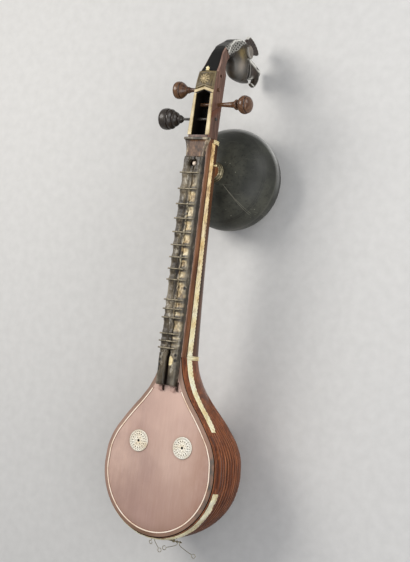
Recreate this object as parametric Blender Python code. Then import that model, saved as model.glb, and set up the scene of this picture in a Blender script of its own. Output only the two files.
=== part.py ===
"""A veena, the long lute of South India, lying at rest on its wooden bowl and on the gourd under its neck.

Every piece is shaped in the instrument's own frame: x across the strings, y along the neck from the tail to the
head, z out of the soundboard, with z = 0 on the soundboard's face. The frame hangs on the empty "instrument",
which tips it so that the flat under the bowl and the mouth of the gourd both lie on the floor, at world z = 0.
The world origin is the middle of the flat under the bowl.
"""

import math

import bmesh
import bpy
from mathutils import Vector

MM = 0.001
GAP = 0.3 * MM

# Strings: the bridge and the nut are lost, but every fret is placed from where they stood.
SCALE_LENGTH = 763 * MM
BRIDGE_Y = 134.6 * MM
NUT_Y = BRIDGE_Y + SCALE_LENGTH
FRETS_LEFT = (1, 2, 3, 4, 5, 6, 7, 8, 9, 11, 12, 13, 15, 16, 17)
FRET_LENGTH = 57 * MM
FRET_WIDTH = 3.8 * MM
FRET_HEIGHT = 4.6 * MM

# Bowl and soundboard
BOARD_HALF_WIDTH = 157 * MM
BOARD_THICKNESS = 4 * MM
BOARD_TAIL = 160 * MM
BOWL_WIDE_Y = 122 * MM
BOWL_DEPTH = 236.5 * MM
BOWL_BULGE = 8 * MM
BOWL_WALL = 8 * MM
BOWL_WIDEST_DEPTH = 40 * MM
BOWL_ROUNDNESS = 2.6
FLAT_CUT = 1.5 * MM
NECK_BLOCK = 30 * MM
# How far up the neck from the bowl's widest line each rib of the shoulder lies, with its shares of the way from
# the neck's to the bowl's half width and depth.
SHOULDER_WIDTHS = ((0.13, 0.978), (0.265, 0.885), (0.39, 0.72), (0.51, 0.53), (0.62, 0.34), (0.73, 0.185),
                   (0.86, 0.07))
SHOULDER_DEPTHS = ((0.15, 0.98), (0.31, 0.86), (0.45, 0.68), (0.56, 0.49), (0.67, 0.32), (0.78, 0.165),
                   (0.9, 0.05))

# Purfling and rosettes
PURFLING_INSET = 9 * MM
PURFLING_WIDTH = 2.4 * MM
PURFLING_HEIGHT = 0.7 * MM
PURFLING_TOP_Y = 322 * MM
ROSETTE_RADIUS = 26.7 * MM
ROSETTE_X = 63.6 * MM
ROSETTE_Y = 185.2 * MM
ROSETTE_THICKNESS = 2 * MM
ROSETTE_HOLE_RADIUS = 3 * MM
SOUND_HOLE_RADIUS = 16 * MM

# Neck
JOINT_Y = 402 * MM
NECK_HALF_WIDTH = 31.5 * MM
NECK_TOP_HALF_WIDTH = 25.5 * MM
NECK_WIDEST_DEPTH = 32 * MM
NECK_DEPTH_FOOT = 104 * MM
NECK_DEPTH_MIDDLE = 77 * MM
NECK_DEPTH_HEAD = 61 * MM
NECK_WALL = 6 * MM
COVER_THICKNESS = 4 * MM
PANEL_LENGTH = 49 * MM
NECK_END_Y = NUT_Y + PANEL_LENGTH

# Ivory trim on the sides
STRIP_THICKNESS = 1.6 * MM
STRIP_FRONT_DEPTH_FOOT = 22 * MM
STRIP_FRONT_DEPTH_HEAD = 16.5 * MM
STRIP_WIDTH_FOOT = 23 * MM
STRIP_WIDTH_HEAD = 14.5 * MM
BAND_WIDTH = 10 * MM
BAND_THICKNESS = 2.6 * MM
BAND_REACH = math.radians(9)
SHOULDER_STRIP_END_Y = 232 * MM
TAIL_STRIP_END_Y = 88 * MM
TAIL_STRIP_FRONT_DEPTH = 9 * MM
TAIL_STRIP_WIDTH = 20 * MM

# Wax ridges that carry the frets
RIDGE_HEIGHT = 20 * MM
RIDGE_INNER_X = 2.5 * MM
RIDGE_OUTER_X = 28.3 * MM
RIDGE_FOOT_Y = 330 * MM
RIDGE_ROUNDING = 7.5 * MM
STUB_LENGTH = 11 * MM
STUB_RADIUS = 5.5 * MM
STUB_X = 18 * MM
STUB_Y = 316 * MM

# Nut panel
PANEL_HEIGHT = 8 * MM
PANEL_FOOT_HALF_WIDTH = 26.5 * MM
PANEL_TOP_HALF_WIDTH = 36 * MM
PANEL_LIP = 4 * MM

# Pegbox
PEGBOX_FOOT_HALF_WIDTH = 32.5 * MM
PEGBOX_TOP_HALF_WIDTH = 26 * MM
PEGBOX_BACK_DEPTH = 44 * MM
PEGBOX_TOP_BACK_DEPTH = 60 * MM
PEGBOX_FRONT_FOOT = 3 * MM
PEGBOX_FRONT_TOP = -8 * MM
SLOT_HALF_WIDTH = 20.5 * MM
SLOT_FOOT = 7 * MM
SLOT_LENGTH = 105 * MM
COVER_LENGTH = 58 * MM
PEGBOX_LENGTH = SLOT_FOOT + SLOT_LENGTH + COVER_LENGTH
SLOT_DEPTH = 36 * MM
SLOT_ARCH_RISE = 9 * MM
SLOT_STRIP_THICKNESS = 2.4 * MM
ARCH_WIDTH = 7 * MM
SCARF_FRONT = 66 * MM
SCARF_SLOPE = math.radians(33)
COVER_CROWN = 9 * MM
BOSS_RADIUS = 14 * MM
BOSS_HEIGHT = 6 * MM
KNOB_RADIUS = 5 * MM
KNOB_LENGTH = 12 * MM

# Pegs: how far up the pegbox and how deep each axis lies, and where its parts end along x.
PEG_SHAFT_RADIUS = 4.4 * MM
PEG_CLEARANCE = 0.3 * MM
EMPTY_HOLE_RADIUS = 4 * MM
LOWER_LEFT_PEG = (51 * MM, 21 * MM)
RIGHT_PEG = (89 * MM, 26 * MM)
UPPER_LEFT_PEG = (125 * MM, 19 * MM)
EMPTY_PEG_HOLE = (162 * MM, 27 * MM)

# Gourd, and the bolt that holds it
BOLT_Y = 881 * MM
BOLT_RADIUS = 4 * MM
BOLT_HEAD_RADIUS = 6 * MM
BOLT_HEAD_HEIGHT = 7 * MM
BOLT_WELL_RADIUS = 10.3 * MM
GOURD_RADIUS = 134.5 * MM
GOURD_MOUTH_RADIUS = 95 * MM
GOURD_MOUTH_DEPTH = 264 * MM
GOURD_WIDEST_DEPTH = 180 * MM
GOURD_FACE_DEPTH = 94 * MM
GOURD_WALL = 6 * MM
COLLAR_RADIUS = 27 * MM
COLLAR_HEIGHT = 13 * MM
SEAT_RADIUS = 19 * MM
NUT_RADIUS = 9 * MM
NUT_HEIGHT = 7 * MM

# Tail hardware
ROD_RADIUS = 1.5 * MM
ROD_STANDOFF = 6.5 * MM
ROD_DEPTH = 80 * MM
TAIL_ROD_HALF_LENGTH = 47 * MM
TAIL_PLATE_HALF_WIDTH = 27 * MM
TAIL_PLATE_HEIGHT = 18 * MM
TAIL_PLATE_THICKNESS = 1.8 * MM
WIRE_RADIUS = 0.8 * MM
WIRE_EYE_RADIUS = ROD_RADIUS + WIRE_RADIUS + GAP
WIRE_RING_RADIUS = 5 * MM
# Each tail wire's name, place on the rod, how far its shank reaches from there, and its ring's side, in mm.
WIRES = (
    ("far_left_wire", -42, (-3, -13, -4), 1),
    ("left_wire", -33, (15, -26, 0), 1),
    ("right_wire", 33, (-30, -20, 0), -1),
    ("far_right_wire", 42, (38, -24, 0), 1),
)

RING_POINTS = 24
TURNED_POINTS = 32
RIB_POINTS = 20


def clear_scene():
    for item in list(bpy.data.objects):
        bpy.data.objects.remove(item, do_unlink=True)


def material(name, colour, roughness, metallic=0.0):
    made = bpy.data.materials.new(name)
    made.use_nodes = True
    shader = made.node_tree.nodes["Principled BSDF"]
    shader.inputs["Base Color"].default_value = (*colour, 1.0)
    shader.inputs["Roughness"].default_value = roughness
    shader.inputs["Metallic"].default_value = metallic
    return made


def curve_height(points, at):
    """Height at one place of the smooth curve through points, which never overshoots them."""
    places = [place for place, height in points]
    heights = [height for place, height in points]
    if at <= places[0]:
        return heights[0]
    if at >= places[-1]:
        return heights[-1]
    rises = []
    for i in range(len(points) - 1):
        rises.append((heights[i + 1] - heights[i]) / (places[i + 1] - places[i]))
    slopes = [rises[0]]
    for before, after in zip(rises, rises[1:]):
        turns = before * after <= 0
        slopes.append(0.0 if turns else 2 * before * after / (before + after))
    slopes.append(rises[-1])
    i = max(k for k in range(len(points) - 1) if places[k] <= at)
    width = places[i + 1] - places[i]
    t = (at - places[i]) / width
    start = (1 + 2 * t) * (1 - t) ** 2 * heights[i] + t * (1 - t) ** 2 * width * slopes[i]
    end = t * t * (3 - 2 * t) * heights[i + 1] + t * t * (t - 1) * width * slopes[i + 1]
    return start + end


def new_object(name, mesh, finish, parent):
    made = bpy.data.objects.new(name, mesh)
    bpy.context.scene.collection.objects.link(made)
    made.parent = parent
    if finish is not None:
        mesh.materials.append(finish)
    return made


def solid(name, verts, faces, finish, parent, location=(0, 0, 0), smooth=True):
    """A closed mesh object from its points and faces, with its faces turned outwards."""
    mesh = bpy.data.meshes.new(name)
    mesh.from_pydata([tuple(point) for point in verts], [], faces)
    bm = bmesh.new()
    bm.from_mesh(mesh)
    bmesh.ops.recalc_face_normals(bm, faces=bm.faces)
    bm.to_mesh(mesh)
    bm.free()
    if smooth:
        mesh.shade_smooth()
        mesh.set_sharp_from_angle(angle=math.radians(35))
    made = new_object(name, mesh, finish, parent)
    made.location = location
    return made


def guide(item):
    """Marks a solid that only cuts or joins another."""
    item.hide_render = True
    item.display_type = "WIRE"
    return item


def combine(item, other, operation):
    step = item.modifiers.new(operation.lower() + "_" + other.name, "BOOLEAN")
    step.operation = operation
    step.solver = "EXACT"
    step.object = other


def cut(item, *cutters):
    for cutter in cutters:
        combine(item, cutter, "DIFFERENCE")


def loft(rings):
    """Points and faces of the closed skin through rings of equal length; a ring of one point is a pole."""
    verts = []
    starts = []
    for ring in rings:
        starts.append(len(verts))
        verts.extend(ring)
    faces = []
    for i in range(len(rings) - 1):
        low, high = starts[i], starts[i + 1]
        count = max(len(rings[i]), len(rings[i + 1]))
        for k in range(count):
            after = (k + 1) % count
            if len(rings[i]) == 1:
                faces.append((low, high + k, high + after))
            elif len(rings[i + 1]) == 1:
                faces.append((low + k, high, low + after))
            else:
                faces.append((low + k, high + k, high + after, low + after))
    for i in (0, len(rings) - 1):
        if len(rings[i]) > 1:
            faces.append(tuple(range(starts[i], starts[i] + len(rings[i]))))
    return verts, faces


def prism(outline, low, high, axis="z"):
    """Points and faces of an outline pushed from low to high along an axis; x prisms take (y, z) outlines."""
    def point(a, b, along):
        return (a, b, along) if axis == "z" else (along, a, b)
    rings = [[point(a, b, level) for a, b in outline] for level in (low, high)]
    return loft(rings)


def turned(profile, count=TURNED_POINTS, axis="z"):
    """Points and faces of a turned solid; its profile of (radius, place) starts and ends on the axis."""
    rings = []
    for radius, place in profile:
        ring = []
        for k in range(count if radius > 0 else 1):
            angle = 2 * math.pi * k / count
            across = (radius * math.cos(angle), radius * math.sin(angle))
            ring.append((*across, place) if axis == "z" else (place, *across))
        rings.append(ring)
    return loft(rings)


def turned_ring(profile, count=TURNED_POINTS):
    """Points and faces of a turned solid with a way through: its profile is a closed loop off the axis."""
    verts = []
    faces = []
    for k in range(count):
        angle = 2 * math.pi * k / count
        for radius, place in profile:
            verts.append((radius * math.cos(angle), radius * math.sin(angle), place))
    size = len(profile)
    for k in range(count):
        for i in range(size):
            here, there = k * size, (k + 1) % count * size
            after = (i + 1) % size
            faces.append((here + i, here + after, there + after, there + i))
    return verts, faces


def tube(points, radius, sides=6):
    """Points and faces of a round bar along a bent line, mitred at its corners."""
    rings = []
    across = Vector((1, 0, 0))
    for i, point in enumerate(points):
        before = (point - points[max(i - 1, 0)]).normalized()
        after = (points[min(i + 1, len(points) - 1)] - point).normalized()
        along = (before + after).normalized()
        across = (across - along * across.dot(along)).normalized()
        up = along.cross(across)
        ring = []
        for k in range(sides):
            angle = 2 * math.pi * k / sides
            ring.append(point + (across * math.cos(angle) + up * math.sin(angle)) * radius)
        rings.append(ring)
    return loft(rings)


def superellipse(share, power):
    """How wide a rounded form still is at a share of its height from its widest line."""
    return max(0.0, 1 - min(1.0, abs(share)) ** power) ** (1 / power)


def arc(count, start, end):
    return [start + (end - start) * i / count for i in range(count + 1)]


def body_half_width(y):
    """Half the width of the soundboard or neck cover at its face."""
    if y < BOWL_WIDE_Y:
        return BOARD_HALF_WIDTH * math.sqrt(max(0.0, 1 - ((BOWL_WIDE_Y - y) / BOARD_TAIL) ** 2))
    points = [(BOWL_WIDE_Y, BOARD_HALF_WIDTH)]
    for along, share in SHOULDER_WIDTHS:
        width = NECK_TOP_HALF_WIDTH + share * (BOARD_HALF_WIDTH - NECK_TOP_HALF_WIDTH)
        points.append((BOWL_WIDE_Y + along * (JOINT_Y - BOWL_WIDE_Y), width))
    points.append((JOINT_Y, NECK_TOP_HALF_WIDTH))
    return curve_height(points, y)


def body_bulge(y):
    """How much further out than its face the body reaches at its widest line."""
    neck_bulge = NECK_HALF_WIDTH - NECK_TOP_HALF_WIDTH
    return curve_height([(BOWL_WIDE_Y, BOWL_BULGE), (JOINT_Y, neck_bulge)], y)


def body_widest_depth(y):
    return curve_height([(BOWL_WIDE_Y, BOWL_WIDEST_DEPTH), (JOINT_Y, NECK_WIDEST_DEPTH)], y)


def body_depth(y):
    """Depth of the bowl or neck on its middle line, for the bowl's tail at its widest line's place."""
    points = [(BOWL_WIDE_Y, BOWL_DEPTH)]
    for along, share in SHOULDER_DEPTHS:
        depth = NECK_DEPTH_FOOT + share * (BOWL_DEPTH - NECK_DEPTH_FOOT)
        points.append((BOWL_WIDE_Y + along * (JOINT_Y - BOWL_WIDE_Y), depth))
    points.append((JOINT_Y, NECK_DEPTH_FOOT))
    points.append(((JOINT_Y + NECK_END_Y) / 2, NECK_DEPTH_MIDDLE))
    points.append((NECK_END_Y, NECK_DEPTH_HEAD))
    return curve_height(points, y)


def tail_share(y, offset):
    """How far y lies towards the tail from the bowl's widest line, as a share of the whole way."""
    return max(0.0, (BOWL_WIDE_Y - y) / (BOARD_TAIL + BOWL_BULGE + offset))


def outer_half_width(y, offset):
    share = tail_share(y, offset)
    if share > 0:
        return (BOARD_HALF_WIDTH + BOWL_BULGE + offset) * math.sqrt(max(0.0, 1 - share * share))
    return body_half_width(y) + body_bulge(y) + offset


def outer_depth(y, offset):
    widest = body_widest_depth(y)
    return widest + (body_depth(y) + offset - widest) * superellipse(tail_share(y, offset), BOWL_ROUNDNESS)


def outer_rise(y, offset):
    """How far above its widest line the outside would close, if the face did not cut it off."""
    board = body_half_width(y)
    if board > 0:
        rim = max(0.0, board + offset) / outer_half_width(y, offset)
        return body_widest_depth(y) / (1 - rim ** BOWL_ROUNDNESS) ** (1 / BOWL_ROUNDNESS)
    rim = BOARD_TAIL / (BOARD_TAIL + BOWL_BULGE)
    whole = BOWL_WIDEST_DEPTH / (1 - rim ** BOWL_ROUNDNESS) ** (1 / BOWL_ROUNDNESS)
    return whole * superellipse(tail_share(y, offset), BOWL_ROUNDNESS)


def body_point(y, angle, offset):
    """Point on the outside of the bowl or neck at y; the angle runs from the right over the face to the left."""
    widest = body_widest_depth(y)
    across = math.copysign(abs(math.cos(angle)) ** (2 / BOWL_ROUNDNESS), math.cos(angle))
    up = math.copysign(abs(math.sin(angle)) ** (2 / BOWL_ROUNDNESS), math.sin(angle))
    reach = outer_rise(y, offset) if up > 0 else outer_depth(y, offset) - widest
    return (outer_half_width(y, offset) * across, y, up * reach - widest)


def body_ring(y, offset):
    return [body_point(y, 2 * math.pi * k / RING_POINTS, offset) for k in range(RING_POINTS)]


def tail_rings(offset):
    """Rings from the tail's last point to just short of the bowl's widest line."""
    tail = BOARD_TAIL + BOWL_BULGE + offset
    rings = [[(0, BOWL_WIDE_Y - tail, -BOWL_WIDEST_DEPTH)]]
    for angle in arc(9, 0, math.pi / 2)[1:-1]:
        rings.append(body_ring(BOWL_WIDE_Y - tail * math.cos(angle), offset))
    return rings


def body_stations(start, end):
    """Places along the body that every piece lying on it shares, from start to end and with both."""
    marks = arc(13, BOWL_WIDE_Y, JOINT_Y - BAND_WIDTH / 2) + arc(8, JOINT_Y, NECK_END_Y)
    between = [y for y in marks if start < y < end]
    return [start] + between + [end]


def body_rings(start, end, offset):
    return [body_ring(y, offset) for y in body_stations(start, end)]


def side_x(y, depth, offset=0.0):
    """Half width of the body's outside at y and a depth, above its widest line or below it."""
    below = depth - body_widest_depth(y)
    reach = outer_depth(y, offset) - body_widest_depth(y) if below > 0 else outer_rise(y, offset)
    return outer_half_width(y, offset) * superellipse(below / reach, BOWL_ROUNDNESS)


def box(name, low, high, parent):
    outline = [(low[0], low[1]), (high[0], low[1]), (high[0], high[1]), (low[0], high[1])]
    verts, faces = prism(outline, low[2], high[2])
    return guide(solid(name, verts, faces, None, parent, smooth=False))


def rest_tilt():
    """Angle that lays the flat under the bowl and the gourd's mouth on one floor."""
    depth = BOWL_DEPTH - FLAT_CUT
    reach = BOLT_Y - BOWL_WIDE_Y
    return math.atan2(reach, depth) - math.acos(GOURD_MOUTH_DEPTH / math.hypot(depth, reach))


def make_frame():
    tilt = rest_tilt()
    frame = bpy.data.objects.new("instrument", None)
    bpy.context.scene.collection.objects.link(frame)
    depth = BOWL_DEPTH - FLAT_CUT
    frame.rotation_euler = (tilt, 0, 0)
    back = math.cos(tilt) * BOWL_WIDE_Y + math.sin(tilt) * depth
    lift = math.cos(tilt) * depth - math.sin(tilt) * BOWL_WIDE_Y
    frame.location = (0, -back, lift)
    return frame


def body_cutters(frame):
    """Solids that open the bowl and neck at their faces, flatten the bowl on the floor and drill for the bolt."""
    reach = 2 * (NECK_END_Y + PEGBOX_LENGTH)
    bolt_hole = BOLT_RADIUS + GAP
    made = {
        "bowl_top": box("bowl_top", (-reach, -reach, -BOARD_THICKNESS - GAP), (reach, reach, reach), frame),
        "neck_top": box("neck_top", (-reach, -reach, -COVER_THICKNESS - GAP), (reach, reach, reach), frame),
        "floor": box("floor", (-reach, -reach, -reach), (reach, reach, 0), None),
    }
    verts, faces = turned([(0, BOWL_DEPTH), (bolt_hole, BOWL_DEPTH), (bolt_hole, -BOWL_DEPTH), (0, -BOWL_DEPTH)])
    made["bolt_hole"] = guide(solid("bolt_hole", verts, faces, None, None))
    return made


def make_bowl(frame, wood, cutters):
    verts, faces = loft(tail_rings(0) + body_rings(BOWL_WIDE_Y, JOINT_Y, 0))
    bowl = solid("bowl", verts, faces, wood, frame)
    hollow_end = JOINT_Y - NECK_BLOCK
    verts, faces = loft(tail_rings(-BOWL_WALL) + body_rings(BOWL_WIDE_Y, hollow_end, -BOWL_WALL))
    hollow = guide(solid("bowl_hollow", verts, faces, None, frame))
    cut(bowl, hollow, cutters["bowl_top"], cutters["floor"])
    return bowl


def board_side():
    """Points of the soundboard's right edge from the tail to the neck joint."""
    points = []
    for angle in arc(16, 0, math.pi / 2):
        y = BOWL_WIDE_Y - BOARD_TAIL * math.cos(angle)
        points.append((body_half_width(y), y))
    for y in body_stations(BOWL_WIDE_Y, JOINT_Y)[1:]:
        points.append((body_half_width(y), y))
    return points


def mirrored(points):
    """An outline from its right side: the points again on the left, in the other order."""
    return points + [(-x, y) for x, y in reversed(points) if x > 0]


def make_soundboard(frame, wood):
    outline = mirrored(board_side())
    verts, faces = prism(outline, -BOARD_THICKNESS, 0)
    board = solid("soundboard", verts, faces, wood, frame)
    for side, name in ((-1, "left"), (1, "right")):
        verts, faces = turned([(0, -2 * BOARD_THICKNESS), (SOUND_HOLE_RADIUS, -2 * BOARD_THICKNESS),
                               (SOUND_HOLE_RADIUS, BOARD_THICKNESS), (0, BOARD_THICKNESS)])
        place = (side * ROSETTE_X, ROSETTE_Y, 0)
        hole = guide(solid(name + "_sound_hole", verts, faces, None, frame, place))
        cut(board, hole)


def inset_side(inset):
    """The soundboard's right edge moved inwards, up to where the purfling ends beside the ridges."""
    side = board_side()
    points = []
    for i, (x, y) in enumerate(side):
        before = side[i - 1] if i else (-side[1][0], side[1][1])
        after = side[min(i + 1, len(side) - 1)]
        along = Vector((after[0] - before[0], after[1] - before[1])).normalized()
        moved = (x - along.y * inset, y + along.x * inset)
        if moved[1] < PURFLING_TOP_Y:
            points.append(moved)
    return points


def make_purfling(frame, ivory):
    outer = inset_side(PURFLING_INSET)
    inner = inset_side(PURFLING_INSET + PURFLING_WIDTH)
    outside = [(-x, y) for x, y in reversed(outer[1:])] + outer
    inside = [(-x, y) for x, y in reversed(inner[1:])] + inner
    verts = []
    for level in (GAP, GAP + PURFLING_HEIGHT):
        for line in (outside, inside):
            verts.extend((x, y, level) for x, y in line)
    a, b = len(outside), len(inside)
    faces = []
    for i in range(a - 1):
        faces.append((i, i + 1, a + b + i + 1, a + b + i))
        faces.append((a + i, a + i + 1, a + i + 1 + a + b, a + i + a + b))
        faces.append((i, i + 1, a + i + 1, a + i))
        faces.append((a + b + i, a + b + i + 1, a + b + a + i + 1, a + b + a + i))
    faces.append((0, a, a + a + b, a + b))
    faces.append((a - 1, a + b - 1, a + b + a + b - 1, a + b + a - 1))
    solid("purfling", verts, faces, ivory, frame, smooth=False)


def make_rosettes(frame, ivory):
    rim = 0.6 * MM
    profile = [(ROSETTE_HOLE_RADIUS, 0), (ROSETTE_RADIUS, 0), (ROSETTE_RADIUS, ROSETTE_THICKNESS - rim),
               (ROSETTE_RADIUS - rim, ROSETTE_THICKNESS), (ROSETTE_HOLE_RADIUS, ROSETTE_THICKNESS)]
    verts, faces = turned_ring(profile, 28)
    for side, name in ((-1, "left_rosette"), (1, "right_rosette")):
        solid(name, verts, faces, ivory, frame, (side * ROSETTE_X, ROSETTE_Y, GAP))


def make_neck(frame, wood, cutters):
    verts, faces = loft(body_rings(JOINT_Y + GAP, NECK_END_Y, 0))
    neck = solid("neck", verts, faces, wood, frame)
    verts, faces = loft(body_rings(JOINT_Y - NECK_WALL, NECK_END_Y + NECK_WALL, -NECK_WALL))
    hollow = guide(solid("neck_hollow", verts, faces, None, frame))
    cut(neck, hollow, cutters["neck_top"], cutters["bolt_hole"])


def make_neck_cover(frame, wood, cutters):
    arris = 1.5 * MM
    rings = []
    for y in (JOINT_Y + GAP, NECK_END_Y):
        top = NECK_TOP_HALF_WIDTH
        foot = side_x(y, COVER_THICKNESS)
        half = [(foot, -COVER_THICKNESS), (top, -arris), (top - arris, 0)]
        section = half + [(-x, z) for x, z in reversed(half)]
        rings.append([(x, y, z) for x, z in section])
    verts, faces = loft(rings)
    cover = solid("neck_cover", verts, faces, wood, frame)
    cut(cover, cutters["bolt_hole"])


def strip_front_depth(y):
    return curve_height([(JOINT_Y, STRIP_FRONT_DEPTH_FOOT), (NECK_END_Y, STRIP_FRONT_DEPTH_HEAD)], y)


def strip_width(y):
    return curve_height([(JOINT_Y, STRIP_WIDTH_FOOT), (NECK_END_Y, STRIP_WIDTH_HEAD)], y)


def make_side_piece(frame, ivory, name, side, start, end, edges, thickness):
    """A thin piece that lies on one side of the body; edges gives its front and rear depth at y."""
    rings = []
    for y in body_stations(start, end):
        front, rear = edges(y)
        middle = (front + rear) / 2
        ring = [(side * side_x(y, depth, GAP), y, -depth) for depth in (front, middle, rear)]
        outside = [(side * side_x(y, depth, GAP + thickness), y, -depth) for depth in (rear, middle, front)]
        rings.append(ring + outside)
    verts, faces = loft(rings)
    return solid(name, verts, faces, ivory, frame, smooth=False)


def make_side_strips(frame, ivory):
    def neck_edges(y):
        return strip_front_depth(y), strip_front_depth(y) + strip_width(y)
    below_band = JOINT_Y - BAND_WIDTH / 2 - GAP
    above_band = JOINT_Y + BAND_WIDTH / 2 + GAP
    for side, name in ((-1, "left"), (1, "right")):
        make_side_piece(frame, ivory, name + "_neck_strip", side, above_band, NECK_END_Y - BAND_WIDTH - GAP,
                        neck_edges, STRIP_THICKNESS)
        make_side_piece(frame, ivory, name + "_shoulder_strip", side, SHOULDER_STRIP_END_Y, below_band,
                        neck_edges, STRIP_THICKNESS)


def make_tail_strip(frame, ivory):
    """The strip round the bowl's tail, from one side to the other, just under the soundboard."""
    front, rear = TAIL_STRIP_FRONT_DEPTH, TAIL_STRIP_FRONT_DEPTH + TAIL_STRIP_WIDTH
    high = BOWL_DEPTH
    skins = []
    for name, offset in (("tail_strip", GAP + STRIP_THICKNESS), ("tail_strip_back", GAP)):
        verts, faces = loft(tail_rings(offset) + body_rings(BOWL_WIDE_Y, BOWL_WIDE_Y + high, offset))
        skins.append(solid(name, verts, faces, ivory if offset > GAP else None, frame))
    strip, back = skins
    reach = 2 * BOWL_DEPTH
    slab = box("tail_strip_slab", (-reach, -reach, -rear), (reach, TAIL_STRIP_END_Y, -front), frame)
    combine(strip, slab, "INTERSECT")
    cut(strip, guide(back))


def make_band(frame, ivory, name, start, end):
    """An ivory band from one side of the neck round its back to the other side."""
    rings = []
    for angle in arc(22, math.pi - BAND_REACH, 2 * math.pi + BAND_REACH):
        ring = [body_point(y, angle, GAP) for y in (start, end)]
        ring += [body_point(y, angle, GAP + BAND_THICKNESS) for y in (end, start)]
        rings.append(ring)
    verts, faces = loft(rings)
    solid(name, verts, faces, ivory, frame, smooth=False)


def make_ridges(frame, wax):
    """The two bars of dark wax that stand on the neck and carry the frets, with a well between them for the bolt."""
    profile = [(0, -RIDGE_HEIGHT), (BOLT_WELL_RADIUS, -RIDGE_HEIGHT), (BOLT_WELL_RADIUS, 2 * RIDGE_HEIGHT),
               (0, 2 * RIDGE_HEIGHT)]
    verts, faces = turned(profile, 24)
    well = guide(solid("bolt_well", verts, faces, None, frame, (0, BOLT_Y, 0)))
    for side, name in ((-1, "left_fret_ridge"), (1, "right_fret_ridge")):
        rings = []
        ends = RIDGE_ROUNDING / 3
        for y, lower in ((RIDGE_FOOT_Y, ends), (RIDGE_FOOT_Y + ends, 0), (NUT_Y - ends, 0), (NUT_Y, ends)):
            ring = [(RIDGE_INNER_X, GAP)]
            for angle in arc(4, math.pi, math.pi / 2):
                x = RIDGE_INNER_X + RIDGE_ROUNDING * (1 + math.cos(angle))
                ring.append((x, RIDGE_HEIGHT - RIDGE_ROUNDING * (1 - math.sin(angle)) - lower))
            for angle in arc(4, math.pi / 2, 0):
                x = RIDGE_OUTER_X - RIDGE_ROUNDING * (1 - math.cos(angle))
                ring.append((x, RIDGE_HEIGHT - RIDGE_ROUNDING * (1 - math.sin(angle)) - lower))
            ring.append((RIDGE_OUTER_X, GAP))
            rings.append([(side * x, y, z) for x, z in ring])
        verts, faces = loft(rings)
        cut(solid(name, verts, faces, wax, frame), well)


def make_ridge_stubs(frame, wood):
    for side, name in ((-1, "left_ridge_stub"), (1, "right_ridge_stub")):
        rings = []
        for y, radius in ((0, STUB_RADIUS * 0.8), (STUB_LENGTH * 0.2, STUB_RADIUS), (STUB_LENGTH, STUB_RADIUS)):
            ring = [(radius * math.cos(angle), y, radius * math.sin(angle)) for angle in arc(8, 0, math.pi)]
            rings.append(ring)
        verts, faces = loft(rings)
        solid(name, verts, faces, wood, frame, (side * STUB_X, STUB_Y, GAP))


def make_frets(frame, metal):
    """Bars with a rounded top across both ridges, each placed by its note's string length."""
    half = FRET_WIDTH / 2
    shoulder = FRET_HEIGHT - half
    section = [(-half, 0), (half, 0)]
    for angle in arc(6, 0, math.pi):
        section.append((half * math.cos(angle), shoulder + half * math.sin(angle)))
    verts, faces = prism(section, -FRET_LENGTH / 2, FRET_LENGTH / 2, "x")
    for number in FRETS_LEFT:
        y = BRIDGE_Y + SCALE_LENGTH * 2 ** (-number / 12)
        solid("fret_%02d" % number, verts, faces, metal, frame, (0, y, RIDGE_HEIGHT + GAP))


def make_nut_panel(frame, ivory):
    start = NUT_Y + GAP
    length = NECK_END_Y - start
    rings = []
    for along, spread, lip in ((0, 0, 0), (0.3, 0.05, 0), (0.62, 0.35, 0), (0.84, 0.8, 0), (0.88, 0.95, 1),
                               (0.97, 1, 1), (1, 0.95, 0.4)):
        half = PANEL_FOOT_HALF_WIDTH + spread * (PANEL_TOP_HALF_WIDTH - PANEL_FOOT_HALF_WIDTH)
        top = PANEL_HEIGHT + lip * PANEL_LIP
        edge = 2 * MM
        side = [(half, GAP), (half, top - edge), (half - edge, top)]
        section = side + [(-x, z) for x, z in reversed(side)]
        rings.append([(x, start + along * length, z) for x, z in section])
    verts, faces = loft(rings)
    solid("nut_panel", verts, faces, ivory, frame)


def pegbox_half_width(along):
    return PEGBOX_FOOT_HALF_WIDTH + along / PEGBOX_LENGTH * (PEGBOX_TOP_HALF_WIDTH - PEGBOX_FOOT_HALF_WIDTH)


def pegbox_front(along):
    points = [(0, PEGBOX_FRONT_FOOT), (SLOT_FOOT + SLOT_LENGTH, PEGBOX_FRONT_FOOT / 3),
              (PEGBOX_LENGTH, PEGBOX_FRONT_TOP)]
    return curve_height(points, along)


def rib(front, back, half_width, squareness=5.0):
    """Ring across a carved block: front and back are (y, z), and the ring spreads to both sides of the middle."""
    ring = []
    for k in range(RIB_POINTS):
        angle = 2 * math.pi * k / RIB_POINTS
        power = 2 / squareness if math.sin(angle) < 0 else 2 / 9
        across = math.copysign(abs(math.cos(angle)) ** power, math.cos(angle))
        up = math.copysign(abs(math.sin(angle)) ** power, math.sin(angle))
        share = (1 + up) / 2
        y = back[0] + share * (front[0] - back[0])
        z = back[1] + share * (front[1] - back[1])
        ring.append((half_width * across, y, z))
    return ring


def pegbox_ribs(start, end, steps):
    ribs = []
    for along in arc(steps, start, end):
        depth = PEGBOX_BACK_DEPTH + along / PEGBOX_LENGTH * (PEGBOX_TOP_BACK_DEPTH - PEGBOX_BACK_DEPTH)
        y = NECK_END_Y + along
        ribs.append(rib((y, pegbox_front(along)), (y, -depth), pegbox_half_width(along)))
    return ribs


def scarf_half(name, direction, frame):
    """Everything on one side of the slanted joint that splits the pegbox."""
    size = 3 * PEGBOX_LENGTH
    low, high = (0.0, size) if direction > 0 else (-size, GAP)
    outline = [(-size, low), (size, low), (size, high), (-size, high)]
    verts, faces = prism(outline, -size, size)
    half = guide(solid(name, verts, faces, None, frame, (0, NECK_END_Y + SCARF_FRONT, 0), smooth=False))
    half.rotation_euler = (SCARF_SLOPE, 0, 0)
    return half


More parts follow.
